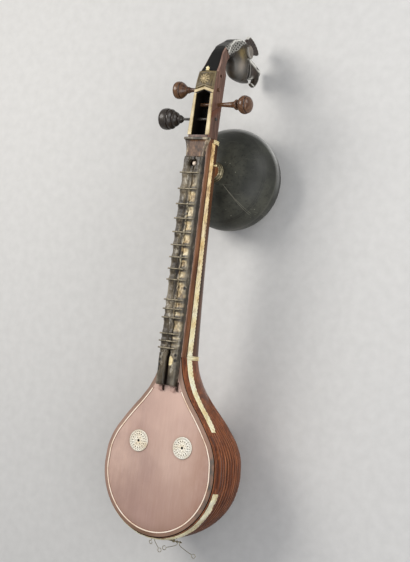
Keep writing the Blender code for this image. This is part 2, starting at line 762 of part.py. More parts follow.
def make_slot_cutter(frame):
    foot = NECK_END_Y + SLOT_FOOT
    top = foot + SLOT_LENGTH
    outline = [(-SLOT_HALF_WIDTH, foot), (SLOT_HALF_WIDTH, foot), (SLOT_HALF_WIDTH, top), (0, top + SLOT_ARCH_RISE),
               (-SLOT_HALF_WIDTH, top)]
    verts, faces = prism(outline, -SLOT_DEPTH, SLOT_DEPTH)
    return guide(solid("slot", verts, faces, None, frame, smooth=False))


def make_peg_holes(frame):
    """Bores for the pegs through both cheeks, and the right-hand bore whose peg is lost."""
    reach = 2 * PEGBOX_FOOT_HALF_WIDTH
    holes = []
    places = {"lower_left": LOWER_LEFT_PEG, "right": RIGHT_PEG, "upper_left": UPPER_LEFT_PEG}
    for name, (along, depth) in places.items():
        radius = PEG_SHAFT_RADIUS + PEG_CLEARANCE
        verts, faces = turned([(0, -reach), (radius, -reach), (radius, reach), (0, reach)], 16, "x")
        place = (0, NECK_END_Y + along, -depth)
        holes.append(guide(solid(name + "_peg_hole", verts, faces, None, frame, place)))
    along, depth = EMPTY_PEG_HOLE
    profile = [(0, 0), (EMPTY_HOLE_RADIUS, 0), (EMPTY_HOLE_RADIUS, reach), (0, reach)]
    verts, faces = turned(profile, 16, "x")
    place = (PEGBOX_TOP_HALF_WIDTH / 2, NECK_END_Y + along, -depth)
    holes.append(guide(solid("empty_peg_hole", verts, faces, None, frame, place)))
    return holes


def scroll_ribs():
    """Ribs of the scroll from the pegbox's end back to the head, measured from that end's front edge."""
    points = (
        ((20, -12), (10, -54), 23.5), ((40, -21), (24, -58), 20.5), ((60, -31), (40, -66), 17.5),
        ((78, -47), (54, -78), 16.5), ((96, -76), (60, -90), 16),
    )
    return [rib_from_end(*point) for point in points]


def rib_from_end(front, back, half_width):
    """A rib in millimetres from the front edge of the pegbox's top end."""
    end = NECK_END_Y + PEGBOX_LENGTH
    places = [(end + y * MM, PEGBOX_FRONT_TOP + z * MM) for y, z in (front, back)]
    return rib(places[0], places[1], half_width * MM, 2.6)


def head_ribs():
    """Ribs of the carved head from the mane at the scroll's end to the tip of the snout."""
    points = (
        ((86, -66), (60, -72), 11), ((101, -78), (60, -82), 14), ((108, -90), (52, -93), 16.5),
        ((112, -101), (36, -100), 18.5), ((114, -112), (22, -107), 20.5), ((115, -124), (13, -120), 21.5),
        ((111, -146), (11, -144), 21), ((93, -163), (13, -164), 18.5), ((80, -174), (18, -176), 14),
    )
    return [rib_from_end(*point) for point in points]


def snout_ribs():
    points = (
        ((86, -160), (24, -164), 17), ((82, -180), (27, -184), 14), ((78, -204), (31, -204), 12),
        ((73, -226), (38, -226), 10.5), ((68, -243), (42, -240), 9), ((66, -253), (52, -251), 6),
    )
    return [rib_from_end(*point) for point in points]


def jaw_ribs():
    points = (
        ((34, -150), (12, -150), 16), ((28, -170), (13, -170), 13), ((26, -184), (16, -185), 10),
        ((25, -193), (19, -194), 6),
    )
    return [rib_from_end(*point) for point in points]


def lip_ribs():
    """Ribs of the upper lip, which hangs down from the snout and curls back under it."""
    points = (
        ((52, -222), (52, -247), 9), ((42, -224), (40, -247), 8.5), ((33, -223), (28, -241), 7.5),
        ((27, -219), (17, -231), 6.5), ((25, -212), (16, -219), 5), ((23, -207), (18, -211), 3),
    )
    return [rib_from_end(*point) for point in points]


def head_plate(name, outline, low, high, frame):
    """A flat carved piece of the head, such as its crest: (y, z) in millimetres, pushed across in x."""
    end = NECK_END_Y + PEGBOX_LENGTH
    placed = [(end + y * MM, PEGBOX_FRONT_TOP + z * MM) for y, z in outline]
    verts, faces = prism(placed, low * MM, high * MM, "x")
    return guide(solid(name, verts, faces, None, frame))


def make_head(frame, wood, slot, holes):
    """The upper pegbox, scroll and beast's head, carved from one block."""
    ribs = pegbox_ribs(SCARF_FRONT * 0.5, PEGBOX_LENGTH, 5) + scroll_ribs()
    verts, faces = loft(ribs)
    block = solid("head", verts, faces, wood, frame)
    cut(block, scarf_half("head_scarf", -1, frame), slot, *holes)
    verts, faces = loft(head_ribs())
    skull = guide(solid("skull", verts, faces, None, frame))
    combine(block, skull, "UNION")
    for name, ribs in (("snout", snout_ribs()), ("jaw", jaw_ribs()), ("lip", lip_ribs())):
        verts, faces = loft(ribs)
        combine(block, guide(solid(name, verts, faces, None, frame)), "UNION")
    crest = ((90, -146), (116, -154), (133, -168), (141, -177), (139, -190), (132, -208), (122, -224), (110, -235),
             (103, -230), (99, -212), (88, -192), (74, -186))
    combine(block, head_plate("crest", crest, -5.5, 5.5, frame), "UNION")
    ear = ((75, -163), (79, -150), (90, -141), (101, -140), (109, -146), (107, -158), (98, -168), (85, -170))
    combine(block, head_plate("left_ear", ear, -26, -14, frame), "UNION")
    combine(block, head_plate("right_ear", ear, 14, 26, frame), "UNION")


def make_pegbox(frame, wood, slot, holes):
    verts, faces = loft(pegbox_ribs(GAP, PEGBOX_LENGTH * 0.8, 6))
    lower = solid("pegbox", verts, faces, wood, frame)
    cut(lower, scarf_half("pegbox_scarf", 1, frame), slot, *holes)


def make_slot_strips(frame, ivory):
    for side, name in ((-1, "left_slot_strip"), (1, "right_slot_strip")):
        rings = []
        for along in arc(5, SLOT_FOOT, SLOT_FOOT + SLOT_LENGTH):
            base = pegbox_front(along) + GAP
            outer = pegbox_half_width(along) - 1 * MM
            inner = SLOT_HALF_WIDTH + GAP
            section = [(inner, base), (outer, base), (outer, base + SLOT_STRIP_THICKNESS * 0.7),
                       (outer - 1 * MM, base + SLOT_STRIP_THICKNESS), (inner, base + SLOT_STRIP_THICKNESS)]
            rings.append([(side * x, NECK_END_Y + along, z) for x, z in section])
        verts, faces = loft(rings)
        solid(name, verts, faces, ivory, frame, smooth=False)


def on_front(x, along, height):
    """A point over the pegbox's front face."""
    return (x, NECK_END_Y + along, pegbox_front(along) + height)


def make_slot_arch(frame, ivory):
    """The ivory chevron that closes the slot's top."""
    foot = SLOT_FOOT + SLOT_LENGTH + GAP
    rings = []
    for share in (-1, -0.5, 0, 0.5, 1):
        x = share * (pegbox_half_width(foot) - 1 * MM)
        inner = foot + (1 - abs(share)) * SLOT_ARCH_RISE + 1 * MM
        outer = inner + ARCH_WIDTH
        ring = [on_front(x, along, GAP) for along in (inner, outer)]
        ring += [on_front(x, along, GAP + SLOT_STRIP_THICKNESS) for along in (outer, inner)]
        rings.append(ring)
    verts, faces = loft(rings)
    solid("slot_arch", verts, faces, ivory, frame, smooth=False)


def cover_skin(name, finish, frame, raised):
    """The domed block over the pegbox's top, with its foot cut to the chevron."""
    foot = SLOT_FOOT + SLOT_LENGTH + ARCH_WIDTH + 1 * MM + 3 * GAP
    rings = []
    for share in arc(8, -1, 1):
        base = []
        crown = []
        for step in arc(5, 0, 1):
            start = foot + (1 - abs(share)) * SLOT_ARCH_RISE - raised
            along = start + step * (PEGBOX_LENGTH - start + raised)
            x = share * (pegbox_half_width(along) - 1 * MM + raised)
            swell = math.sqrt(max(0.0, 1 - 0.85 * share * share)) * (0.75 + 0.25 * math.sin(math.pi * step))
            base.append(on_front(x, along, GAP - raised))
            crown.append(on_front(x, along, GAP + COVER_CROWN * swell + raised))
        rings.append(base + crown[::-1])
    verts, faces = loft(rings)
    return solid(name, verts, faces, finish, frame)


def make_cover(frame, wood, gilt, ivory):
    cover_skin("pegbox_cover", wood, frame, 0)
    seat = guide(cover_skin("boss_seat", None, frame, GAP))
    boss_along = (SLOT_FOOT + SLOT_LENGTH + SLOT_ARCH_RISE + PEGBOX_LENGTH) / 2 + 2 * MM
    top = COVER_CROWN + BOSS_HEIGHT
    profile = [(0, COVER_CROWN / 3), (BOSS_RADIUS, COVER_CROWN / 3), (BOSS_RADIUS, COVER_CROWN - 1 * MM)]
    for angle in arc(4, 0, math.pi / 2)[1:-1]:
        profile.append((BOSS_RADIUS * math.cos(angle), COVER_CROWN + BOSS_HEIGHT * math.sin(angle)))
    profile.append((0, top))
    verts, faces = turned(profile, TURNED_POINTS // 2)
    place = (0, NECK_END_Y + boss_along, pegbox_front(boss_along))
    boss = solid("cover_boss", verts, faces, gilt, frame, place)
    cut(boss, seat)
    profile = [(0, 0), (KNOB_RADIUS * 0.8, 0), (KNOB_RADIUS, KNOB_LENGTH * 0.3),
               (KNOB_RADIUS * 0.75, KNOB_LENGTH * 0.8), (KNOB_RADIUS * 0.4, KNOB_LENGTH), (0, KNOB_LENGTH)]
    verts, faces = turned(profile, TURNED_POINTS // 2)
    height = PEGBOX_FRONT_TOP + KNOB_RADIUS + GAP
    knob = solid("cover_knob", verts, faces, ivory, frame, (0, NECK_END_Y + PEGBOX_LENGTH + GAP, height))
    knob.rotation_euler = (-math.pi / 2, 0, 0)


def make_peg(frame, name, place, side, finish, head, tail):
    """A turned peg on its own axis; head is its profile outside the cheek, tail how far it passes the middle."""
    along, depth = place
    inner = pegbox_half_width(along) + GAP
    profile = [(0, -tail), (PEG_SHAFT_RADIUS - 1 * MM, -tail), (PEG_SHAFT_RADIUS, -tail + 1 * MM),
               (PEG_SHAFT_RADIUS, inner)]
    profile += [(radius * MM, inner + out * MM) for radius, out in head]
    profile.append((0, profile[-1][1]))
    profile = [(radius, side * x) for radius, x in profile]
    verts, faces = turned(profile, TURNED_POINTS // 2, "x")
    solid(name, verts, faces, finish, frame, (0, NECK_END_Y + along, -depth))


def make_pegs(frame, brown, black):
    through = PEGBOX_FOOT_HALF_WIDTH
    urn = ((5, 0), (5, 28), (8, 30), (8, 34), (5.5, 36), (12, 42), (21, 52), (22, 58), (19, 66), (11, 71))
    disc = ((4, 0), (3.5, 34), (7, 38), (10, 41), (26, 60), (27.5, 74), (22, 88), (12, 98), (4, 102))
    vase = ((4.5, 0), (7, 44), (11, 50), (13, 54), (8, 56), (16, 60), (23, 70), (22, 80), (16, 90), (8, 94))
    make_peg(frame, "upper_left_peg", UPPER_LEFT_PEG, -1, brown, urn, through)
    make_peg(frame, "lower_left_peg", LOWER_LEFT_PEG, -1, black, disc, through)
    make_peg(frame, "right_peg", RIGHT_PEG, 1, brown, vase, through)


def gourd_profile(inset):
    """Outer or inner line of the gourd from the bolt's hole over its face to its mouth."""
    rise = GOURD_WIDEST_DEPTH - GOURD_FACE_DEPTH - inset
    radius = GOURD_RADIUS - inset
    line = []
    flat = COLLAR_RADIUS
    for angle in arc(6, math.asin(flat / radius), math.pi / 2):
        line.append((radius * math.sin(angle), -GOURD_WIDEST_DEPTH + rise * math.cos(angle)))
    narrowing = math.sqrt(1 - (GOURD_MOUTH_RADIUS / GOURD_RADIUS) ** 2)
    drop = (GOURD_MOUTH_DEPTH - GOURD_WIDEST_DEPTH) / narrowing
    for angle in arc(3, 0, math.asin(narrowing))[1:]:
        line.append((radius * math.cos(angle), -GOURD_WIDEST_DEPTH - drop * math.sin(angle)))
    return line


def make_gourd(frame, tilt, finishes, cutters):
    """The gourd hangs under the neck on a bolt; its axis is square to the floor."""
    axis = bpy.data.objects.new("gourd_axis", None)
    bpy.context.scene.collection.objects.link(axis)
    axis.parent = frame
    axis.location = (0, BOLT_Y, 0)
    axis.rotation_euler = (-tilt, 0, 0)
    cutters["bolt_hole"].parent = axis

    bore = BOLT_RADIUS + GAP
    outer = gourd_profile(0)
    inner = gourd_profile(GOURD_WALL)
    face = outer[0][1]
    profile = [(bore, face)] + outer + inner[::-1] + [(bore, inner[0][1])]
    verts, faces = turned_ring(profile)
    solid("gourd", verts, faces, finishes["gourd"], axis)

    top = face + GAP + COLLAR_HEIGHT
    foot = face + GAP
    profile = [(bore, foot), (COLLAR_RADIUS, foot), (COLLAR_RADIUS, foot + COLLAR_HEIGHT * 0.25),
               (COLLAR_RADIUS * 0.8, foot + COLLAR_HEIGHT * 0.55), (SEAT_RADIUS + 1 * MM, top), (bore, top)]
    verts, faces = turned_ring(profile, 24)
    solid("gourd_collar", verts, faces, finishes["brass"], axis)

    profile = [(0, top + GAP), (SEAT_RADIUS, top + GAP), (SEAT_RADIUS, -NECK_WIDEST_DEPTH), (0, -NECK_WIDEST_DEPTH)]
    verts, faces = turned(profile)
    seat = solid("gourd_seat", verts, faces, finishes["wood"], axis)
    verts, faces = loft(body_rings(JOINT_Y, NECK_END_Y, GAP))
    hollow = guide(solid("seat_hollow", verts, faces, None, frame))
    cut(seat, hollow, cutters["bolt_hole"])

    under = inner[0][1]
    shank = under - GAP - NUT_HEIGHT - 2 * MM
    base = GAP + BOLT_HEAD_RADIUS * math.tan(tilt)
    crown = base + BOLT_HEAD_HEIGHT
    profile = [(0, shank), (BOLT_RADIUS, shank), (BOLT_RADIUS, base), (BOLT_HEAD_RADIUS, base),
               (BOLT_HEAD_RADIUS, base + BOLT_HEAD_HEIGHT * 0.5), (BOLT_HEAD_RADIUS * 0.7, crown - 1 * MM),
               (0, crown)]
    verts, faces = turned(profile, TURNED_POINTS // 2)
    solid("gourd_bolt", verts, faces, finishes["ivory"], axis)
    sides = 6
    thread = bore / math.cos(math.pi / sides)
    profile = [(thread, under - GAP - NUT_HEIGHT), (NUT_RADIUS, under - GAP - NUT_HEIGHT), (NUT_RADIUS, under - GAP),
               (thread, under - GAP)]
    verts, faces = turned_ring(profile, sides)
    solid("gourd_nut", verts, faces, finishes["brass"], axis, smooth=False)


def make_side_post(frame, ivory):
    """The small ivory post on the neck's right side that guided a drone string."""
    radius, length = 2.6 * MM, 8 * MM
    depth = NECK_WIDEST_DEPTH + 4.5 * MM
    y = BOLT_Y + 3 * MM
    profile = [(0, 0), (radius * 0.7, 0), (radius * 0.7, length * 0.6), (radius, length * 0.75), (0, length)]
    verts, faces = turned(profile, 12, "x")
    place = (side_x(y, depth, GAP), y, -depth)
    solid("side_post", verts, faces, ivory, frame, place)


def rod_place():
    """(y, z) of the tail rod's axis."""
    y = BOWL_WIDE_Y - BOARD_TAIL - BOWL_BULGE
    return y - ROD_STANDOFF, -ROD_DEPTH


def make_tail_rod(frame, brass):
    y, z = rod_place()
    lug_radius = ROD_RADIUS + 2.2 * MM
    lug_width = 4 * MM
    front = y + ROD_STANDOFF - TAIL_PLATE_THICKNESS
    outline = [(-TAIL_PLATE_HALF_WIDTH, front), (TAIL_PLATE_HALF_WIDTH, front),
               (TAIL_PLATE_HALF_WIDTH, y + 4 * ROD_STANDOFF), (-TAIL_PLATE_HALF_WIDTH, y + 4 * ROD_STANDOFF)]
    verts, faces = prism(outline, z - TAIL_PLATE_HEIGHT / 2, z + TAIL_PLATE_HEIGHT / 2)
    plate = solid("tail_plate", verts, faces, brass, frame, smooth=False)
    verts, faces = loft(tail_rings(GAP) + body_rings(BOWL_WIDE_Y, JOINT_Y, GAP))
    cut(plate, guide(solid("tail_plate_seat", verts, faces, None, frame)))
    for side in (-1, 1):
        x = side * (TAIL_PLATE_HALF_WIDTH - lug_width)
        outline = [(front + 0.5 * MM, z - lug_radius), (front + 0.5 * MM, z + lug_radius)]
        for angle in arc(6, math.pi / 2, 3 * math.pi / 2):
            outline.append((y + lug_radius * math.cos(angle), z + lug_radius * math.sin(angle)))
        verts, faces = prism(outline, x - lug_width / 2, x + lug_width / 2, "x")
        combine(plate, guide(solid("lug", verts, faces, None, frame, smooth=False)), "UNION")
    reach = TAIL_ROD_HALF_LENGTH
    bore = ROD_RADIUS + GAP
    verts, faces = turned([(0, -reach), (bore, -reach), (bore, reach), (0, reach)], 16, "x")
    cut(plate, guide(solid("rod_hole", verts, faces, None, frame, (0, y, z))))
    verts, faces = turned([(0, -reach), (ROD_RADIUS, -reach), (ROD_RADIUS, reach), (0, reach)], 16, "x")
    solid("tail_rod", verts, faces, brass, frame, (0, y, z))


def wire_route(reach, ring_side):
    """Points of a tail wire: an eye round the rod, a bent shank and a ring at its free end."""
    points = []
    for angle in arc(8, math.radians(200), math.radians(-110)):
        points.append(Vector((0, WIRE_EYE_RADIUS * math.cos(angle), WIRE_EYE_RADIUS * math.sin(angle))))
    end = Vector(reach)
    elbow = Vector((0, -8 * MM, end.z * 0.3))
    points.append(elbow)
    points.append(elbow.lerp(end, 0.5) + Vector((0, -1 * MM, 0)))
    along = (end - elbow).normalized()
    across = along.cross(Vector((0, 0, 1))).normalized() * ring_side
    middle = end + along * WIRE_RING_RADIUS
    for angle in arc(9, math.radians(180), math.radians(-150)):
        spoke = along * math.cos(angle) + across * math.sin(angle)
        points.append(middle + spoke * WIRE_RING_RADIUS)
    return points


def make_wires(frame, brass):
    y, z = rod_place()
    for name, x, reach, ring_side in WIRES:
        verts, faces = tube(wire_route([share * MM for share in reach], ring_side), WIRE_RADIUS)
        solid(name, verts, faces, brass, frame, (x * MM, y, z))


def build():
    clear_scene()
    wood = material("bowl_wood", (0.30, 0.10, 0.045), 0.3)
    board = material("soundboard_wood", (0.62, 0.40, 0.31), 0.5)
    carved = material("carved_head", (0.16, 0.13, 0.11), 0.4)
    box_wood = material("pegbox_wood", (0.45, 0.26, 0.21), 0.45)
    ivory = material("ivory", (0.86, 0.79, 0.62), 0.4)
    wax = material("dark_wax", (0.16, 0.15, 0.13), 0.5)
    metal = material("fret_metal", (0.72, 0.68, 0.58), 0.3, 1.0)
    brass = material("brass", (0.66, 0.54, 0.30), 0.35, 1.0)
    gilt = material("gilt", (0.72, 0.56, 0.28), 0.4, 1.0)
    gourd = material("gourd_skin", (0.13, 0.14, 0.12), 0.4)
    black = material("black_peg", (0.05, 0.045, 0.05), 0.3)
    frame = make_frame()
    cutters = body_cutters(frame)
    make_bowl(frame, wood, cutters)
    make_soundboard(frame, board)
    make_purfling(frame, ivory)
    make_rosettes(frame, ivory)
    make_neck(frame, wood, cutters)
    make_neck_cover(frame, wood, cutters)
    make_side_strips(frame, ivory)
    make_tail_strip(frame, ivory)
    make_band(frame, ivory, "joint_band", JOINT_Y - BAND_WIDTH / 2, JOINT_Y + BAND_WIDTH / 2)
    make_band(frame, ivory, "pegbox_band", NECK_END_Y - BAND_WIDTH, NECK_END_Y)
    make_ridges(frame, wax)
    make_ridge_stubs(frame, board)
    make_frets(frame, metal)
    make_nut_panel(frame, ivory)
    slot = make_slot_cutter(frame)
    holes = make_peg_holes(frame)
    make_pegbox(frame, box_wood, slot, holes)
    make_head(frame, carved, slot, holes)
    make_slot_strips(frame, ivory)
    make_slot_arch(frame, ivory)
    make_cover(frame, carved, gilt, ivory)
    make_pegs(frame, wood, black)
    finishes = {"gourd": gourd, "brass": brass, "wood": wood, "ivory": ivory}
    make_gourd(frame, rest_tilt(), finishes, cutters)
    make_side_post(frame, ivory)
    make_tail_rod(frame, brass)
    make_wires(frame, brass)


build()
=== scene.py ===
"""Looks of a veena that lies on its bowl and on the gourd under its neck.

The camera is rolled so that the instrument stands upright in the picture, as it does in the photograph.
Shapes are worked out in the instrument's own frame, in millimetres: x across the strings, y along the neck
from the tail to the head, z out of the soundboard, with z = 0 on the soundboard's face.
"""

import math
import bmesh
import bpy
import numpy as np
from mathutils import Matrix, Vector, noise

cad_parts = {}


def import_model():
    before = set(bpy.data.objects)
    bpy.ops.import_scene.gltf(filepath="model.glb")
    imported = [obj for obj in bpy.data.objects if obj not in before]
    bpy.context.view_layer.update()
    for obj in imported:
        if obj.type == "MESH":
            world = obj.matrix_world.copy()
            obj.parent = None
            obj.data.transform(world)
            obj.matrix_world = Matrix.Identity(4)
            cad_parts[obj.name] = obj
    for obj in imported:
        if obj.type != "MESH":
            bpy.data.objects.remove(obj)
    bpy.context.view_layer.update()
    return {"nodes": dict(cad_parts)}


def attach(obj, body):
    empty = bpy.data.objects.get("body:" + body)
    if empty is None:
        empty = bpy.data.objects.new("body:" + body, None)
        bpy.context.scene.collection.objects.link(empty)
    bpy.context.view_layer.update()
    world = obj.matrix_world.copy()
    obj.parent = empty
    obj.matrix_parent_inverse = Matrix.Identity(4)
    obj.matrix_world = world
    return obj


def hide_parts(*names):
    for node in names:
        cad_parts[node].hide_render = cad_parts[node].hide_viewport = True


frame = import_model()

ROOT = "instrument"
GAP = 0.3
METRE = 1000.0

# The instrument's frame
BOWL_WIDE_Y = 122.0
BOWL_DEPTH = 236.5
FLAT_CUT = 1.5
BOLT_Y = 881.0
MOUTH_DEPTH = 264.0


def rest_tilt():
    depth = BOWL_DEPTH - FLAT_CUT
    reach = BOLT_Y - BOWL_WIDE_Y
    return math.atan2(reach, depth) - math.acos(MOUTH_DEPTH / math.hypot(depth, reach))


TILT = rest_tilt()
COS, SIN = math.cos(TILT), math.sin(TILT)
BACK = COS * BOWL_WIDE_Y + SIN * (BOWL_DEPTH - FLAT_CUT)
LIFT = COS * (BOWL_DEPTH - FLAT_CUT) - SIN * BOWL_WIDE_Y


def world(points):
    """Instrument millimetres to world metres, for a list of points."""
    p = np.array([tuple(point) for point in points], dtype=float).reshape(-1, 3)
    out = np.empty_like(p)
    out[:, 0] = p[:, 0]
    out[:, 1] = COS * p[:, 1] - SIN * p[:, 2] - BACK
    out[:, 2] = SIN * p[:, 1] + COS * p[:, 2] + LIFT
    return out / METRE


def instrument(points):
    """World metres back to instrument millimetres."""
    p = np.asarray(points, dtype=float) * METRE
    y, z = p[:, 1] + BACK, p[:, 2] - LIFT
    return np.stack([p[:, 0], COS * y + SIN * z, COS * z - SIN * y], axis=1)


# Body
BOARD_HALF_WIDTH = 157.0
BOARD_TAIL = 160.0
BOARD_THICKNESS = 4.0
BOWL_BULGE = 8.0
BOWL_WIDEST_DEPTH = 40.0
ROUNDNESS = 2.6
PURFLING_INSET = 9.0
PURFLING_TOP_Y = 322.0
ROSETTE_X = 63.6
ROSETTE_Y = 185.2
FLUTES = 50
POINTS_PER_FLUTE = 12
RIB_DEPTH = 3.4
LEAF_END_Y = 326.0
RIB_EXPONENT = 0.7
SHOULDER_WIDTHS = ((0.13, 0.978), (0.265, 0.885), (0.39, 0.72), (0.51, 0.53), (0.62, 0.34), (0.73, 0.185),
                   (0.86, 0.07))
SHOULDER_DEPTHS = ((0.15, 0.98), (0.31, 0.86), (0.45, 0.68), (0.56, 0.49), (0.67, 0.32), (0.78, 0.165),
                   (0.9, 0.05))

# Neck, ridges and ivory
JOINT_Y = 402.0
JOINT_DEPTH = 104.0
NECK_MIDDLE_DEPTH = 77.0
NECK_END_DEPTH = 61.0
NECK_HALF_WIDTH = 31.5
NECK_TOP_HALF_WIDTH = 25.5
NECK_WIDEST_DEPTH = 32.0
COVER_THICKNESS = 4.0
BRIDGE_Y = 134.6
SCALE_LENGTH = 763.0
NUT_Y = BRIDGE_Y + SCALE_LENGTH
NECK_END_Y = NUT_Y + 49.0
FRETS = (1, 2, 3, 4, 5, 6, 7, 8, 9, 11, 12, 13, 15, 16, 17)
STRIP_FRONT_FOOT = 22.0
STRIP_FRONT_HEAD = 16.5
STRIP_WIDTH_FOOT = 23.0
STRIP_WIDTH_HEAD = 14.5
STRIP_THICKNESS = 1.6
SCALLOP_PITCH = 9.0
SCALLOP_DEPTH = 3.6
SHOULDER_STRIP_Y = 232.0
TAIL_STRIP_FRONT = 9.0
TAIL_STRIP_WIDTH = 20.0
TAIL_STRIP_REACH = math.radians(78.5)
BAND_THICKNESS = 2.6
BAND_WIDTH = 10.0
RIDGE_HEIGHT = 20.0
RIDGE_INNER_X = 2.5
RIDGE_OUTER_X = 28.3
RIDGE_FOOT_Y = 330.0
STUB_Y = 316.0
RIDGE_SAG = 2.6
WAX_BED_HALF = 4.6
WAX_BED_DROP = 3.6
WEAR_FOOT_Y = 440.0
WEAR_TOP_Y = 800.0
DARK_TOP_Y = 842.0
WELL_RADIUS = 10.3
STUB_X = 18.0
STUB_HALF = 5.5
STUB_HEIGHT = 5.3
STUB_LENGTH = 11.0
LEFT_HOLES = ((-20, 405), (-20.5, 391), (-21, 379), (-22, 368))
RIGHT_HOLES = ((22.5, 405), (23, 392), (23, 570))

# Pegbox and pegs; a peg's place is along the pegbox and below the soundboard's plane
PEGBOX_LENGTH = 170.0
PEGBOX_FOOT_HALF = 32.5
PEGBOX_TOP_HALF = 26.0
PEGBOX_FOOT_DEPTH = 44.0
PEGBOX_TOP_DEPTH = 60.0
PEGBOX_TOP_Z = -8.0
HEAD_Y = NECK_END_Y + PEGBOX_LENGTH
SLOT_START = 7.0
SLOT_END = 112.0
SLOT_POINT = 9.0
SLOT_HALF = 20.5
SLOT_DEPTH = 36.0
ARCH_WIDTH = 7.0
SCARF_FRONT = 66.0
SCARF_SLOPE = math.radians(33)
UPPER_LEFT_PEG = (125, 19)
LOWER_LEFT_PEG = (51, 21)
RIGHT_PEG = (89, 26)
EMPTY_HOLE = (162, 27)
BORE = 4.7
EMPTY_BORE = 4.0
HEAD_VOXEL = 0.0011
HEAD_HALF_LIMIT = 29.3
CARVING_DEPTH = 0.8

# Gourd
GOURD_RADIUS = 134.5
GOURD_WIDE_DEPTH = 180.0
GOURD_FACE_DEPTH = 94.0
MOUTH_RADIUS = 95.0
GOURD_WALL = 6.0
BOLT_BORE = 4.3
COLLAR_RADIUS = 27.0
COLLAR_HEIGHT = 13.0

# Rod of the tail wires
ROD_RADIUS = 1.5
ROD_Y = BOWL_WIDE_Y - BOARD_TAIL - BOWL_BULGE - 6.5
ROD_Z = -80.0
WIRE_RADIUS = 0.77
WIRE_RING = 5.0


def clamp(value, low=0.0, high=1.0):
    return min(high, max(low, value))


def step(low, high, x):
    """0 before low, 1 after high and smooth between; low may be the greater."""
    t = clamp((x - low) / (high - low))
    return t * t * (3 - 2 * t)


def signed(value, power):
    """A value to a power, with its sign kept."""
    return math.copysign(abs(value) ** power, value)


def arc(count, start, end):
    return [start + (end - start) * i / count for i in range(count + 1)]


def turns(count):
    """Angles all round, evenly spread."""
    return [2 * math.pi * k / count for k in range(count)]


def rough(x, y, z, scale=1.0):
    """Smooth unevenness, about -1 to 1, the same each run."""
    return noise.noise(Vector((x, y, z)) * scale)


def hills(*place):
    """The high parts of the unevenness alone."""
    return max(0.0, rough(*place))


def spline(p0, p1, p2, p3, t):
    """A number or point between p1 and p2 of a smooth line through all four."""
    return 0.5 * ((2 * p1) + (p2 - p0) * t + (2 * p0 - 5 * p1 + 4 * p2 - p3) * t * t
                  + (3 * p1 - p0 - 3 * p2 + p3) * t ** 3)


def smooth_line(points, steps, closed=False):
    """A smooth line through points, with so many steps from each to the next."""
    size = len(points)
    out = []
    for i in range(size if closed else size - 1):
        places = [(i + k) % size if closed else int(clamp(i + k, 0, size - 1)) for k in (-1, 0, 1, 2)]
        out += [spline(*(points[k] for k in places), k / steps) for k in range(steps)]
    return out if closed else out + [points[-1]]


def rounded_profile(points, steps=6):
    """A smooth line through (radius, place) points; one with a third value stays a corner."""
    out = []
    for i, point in enumerate(points[:-1]):
        p1, p2 = point[:2], points[i + 1][:2]
        p0 = p1 if len(point) > 2 else points[max(i - 1, 0)][:2]
        p3 = p2 if len(points[i + 1]) > 2 else points[min(i + 2, len(points) - 1)][:2]
        out += [tuple(spline(*four, k / steps) for four in zip(p0, p1, p2, p3)) for k in range(steps)]
    out.append(points[-1][:2])
    return out


def smooth_through(points):
    """A smooth curve through (place, height) points that never overshoots them, as a function."""
    xs = [float(a) for a, b in points]
    ys = [float(b) for a, b in points]
    rises = [(ys[i + 1] - ys[i]) / (xs[i + 1] - xs[i]) for i in range(len(xs) - 1)]
    slopes = [rises[0]]
    for a, b in zip(rises, rises[1:]):
        slopes.append(0.0 if a * b <= 0 else 2 * a * b / (a + b))
    slopes.append(rises[-1])

    def height(x):
        if x <= xs[0]:
            return ys[0]
        if x >= xs[-1]:
            return ys[-1]
        i = max(k for k in range(len(xs) - 1) if xs[k] <= x)
        w = xs[i + 1] - xs[i]
        t = (x - xs[i]) / w
        first = (1 + 2 * t) * (1 - t) ** 2 * ys[i] + t * (1 - t) ** 2 * w * slopes[i]
        return first + t * t * (3 - 2 * t) * ys[i + 1] + t * t * (t - 1) * w * slopes[i + 1]
    return height


def from_wide_to_joint(shares, wide, joint):
    """Points of a shoulder line, from the bowl's widest place to the joint."""
    inner = [(BOWL_WIDE_Y + a * (JOINT_Y - BOWL_WIDE_Y), joint + s * (wide - joint)) for a, s in shares]
    return [(BOWL_WIDE_Y, wide)] + inner + [(JOINT_Y, joint)]


shoulder_width = smooth_through(from_wide_to_joint(SHOULDER_WIDTHS, BOARD_HALF_WIDTH, NECK_TOP_HALF_WIDTH))
body_depth = smooth_through(from_wide_to_joint(SHOULDER_DEPTHS, BOWL_DEPTH, JOINT_DEPTH)
                            + [((JOINT_Y + NECK_END_Y) / 2, NECK_MIDDLE_DEPTH), (NECK_END_Y, NECK_END_DEPTH)])
widest_depth = smooth_through([(BOWL_WIDE_Y, BOWL_WIDEST_DEPTH), (JOINT_Y, NECK_WIDEST_DEPTH)])
bulge = smooth_through([(BOWL_WIDE_Y, BOWL_BULGE), (JOINT_Y, NECK_HALF_WIDTH - NECK_TOP_HALF_WIDTH)])
pegbox_front = smooth_through([(0, 3), (SLOT_END, 1), (PEGBOX_LENGTH, PEGBOX_TOP_Z)])


def pegbox_half(along):
    return PEGBOX_FOOT_HALF + along / PEGBOX_LENGTH * (PEGBOX_TOP_HALF - PEGBOX_FOOT_HALF)


def board_half(y):
    if y < BOWL_WIDE_Y:
        return BOARD_HALF_WIDTH * math.sqrt(max(0.0, 1 - ((BOWL_WIDE_Y - y) / BOARD_TAIL) ** 2))
    return shoulder_width(y)


def superellipse(share):
    return max(0.0, 1 - min(1.0, abs(share)) ** ROUNDNESS) ** (1 / ROUNDNESS)


def tail_share(y, offset):
    return max(0.0, (BOWL_WIDE_Y - y) / (BOARD_TAIL + BOWL_BULGE + offset))


def outer_half(y, offset=0.0):
    share = tail_share(y, offset)
    if share > 0:
        return (BOARD_HALF_WIDTH + BOWL_BULGE + offset) * math.sqrt(max(0.0, 1 - share * share))
    return board_half(y) + bulge(y) + offset


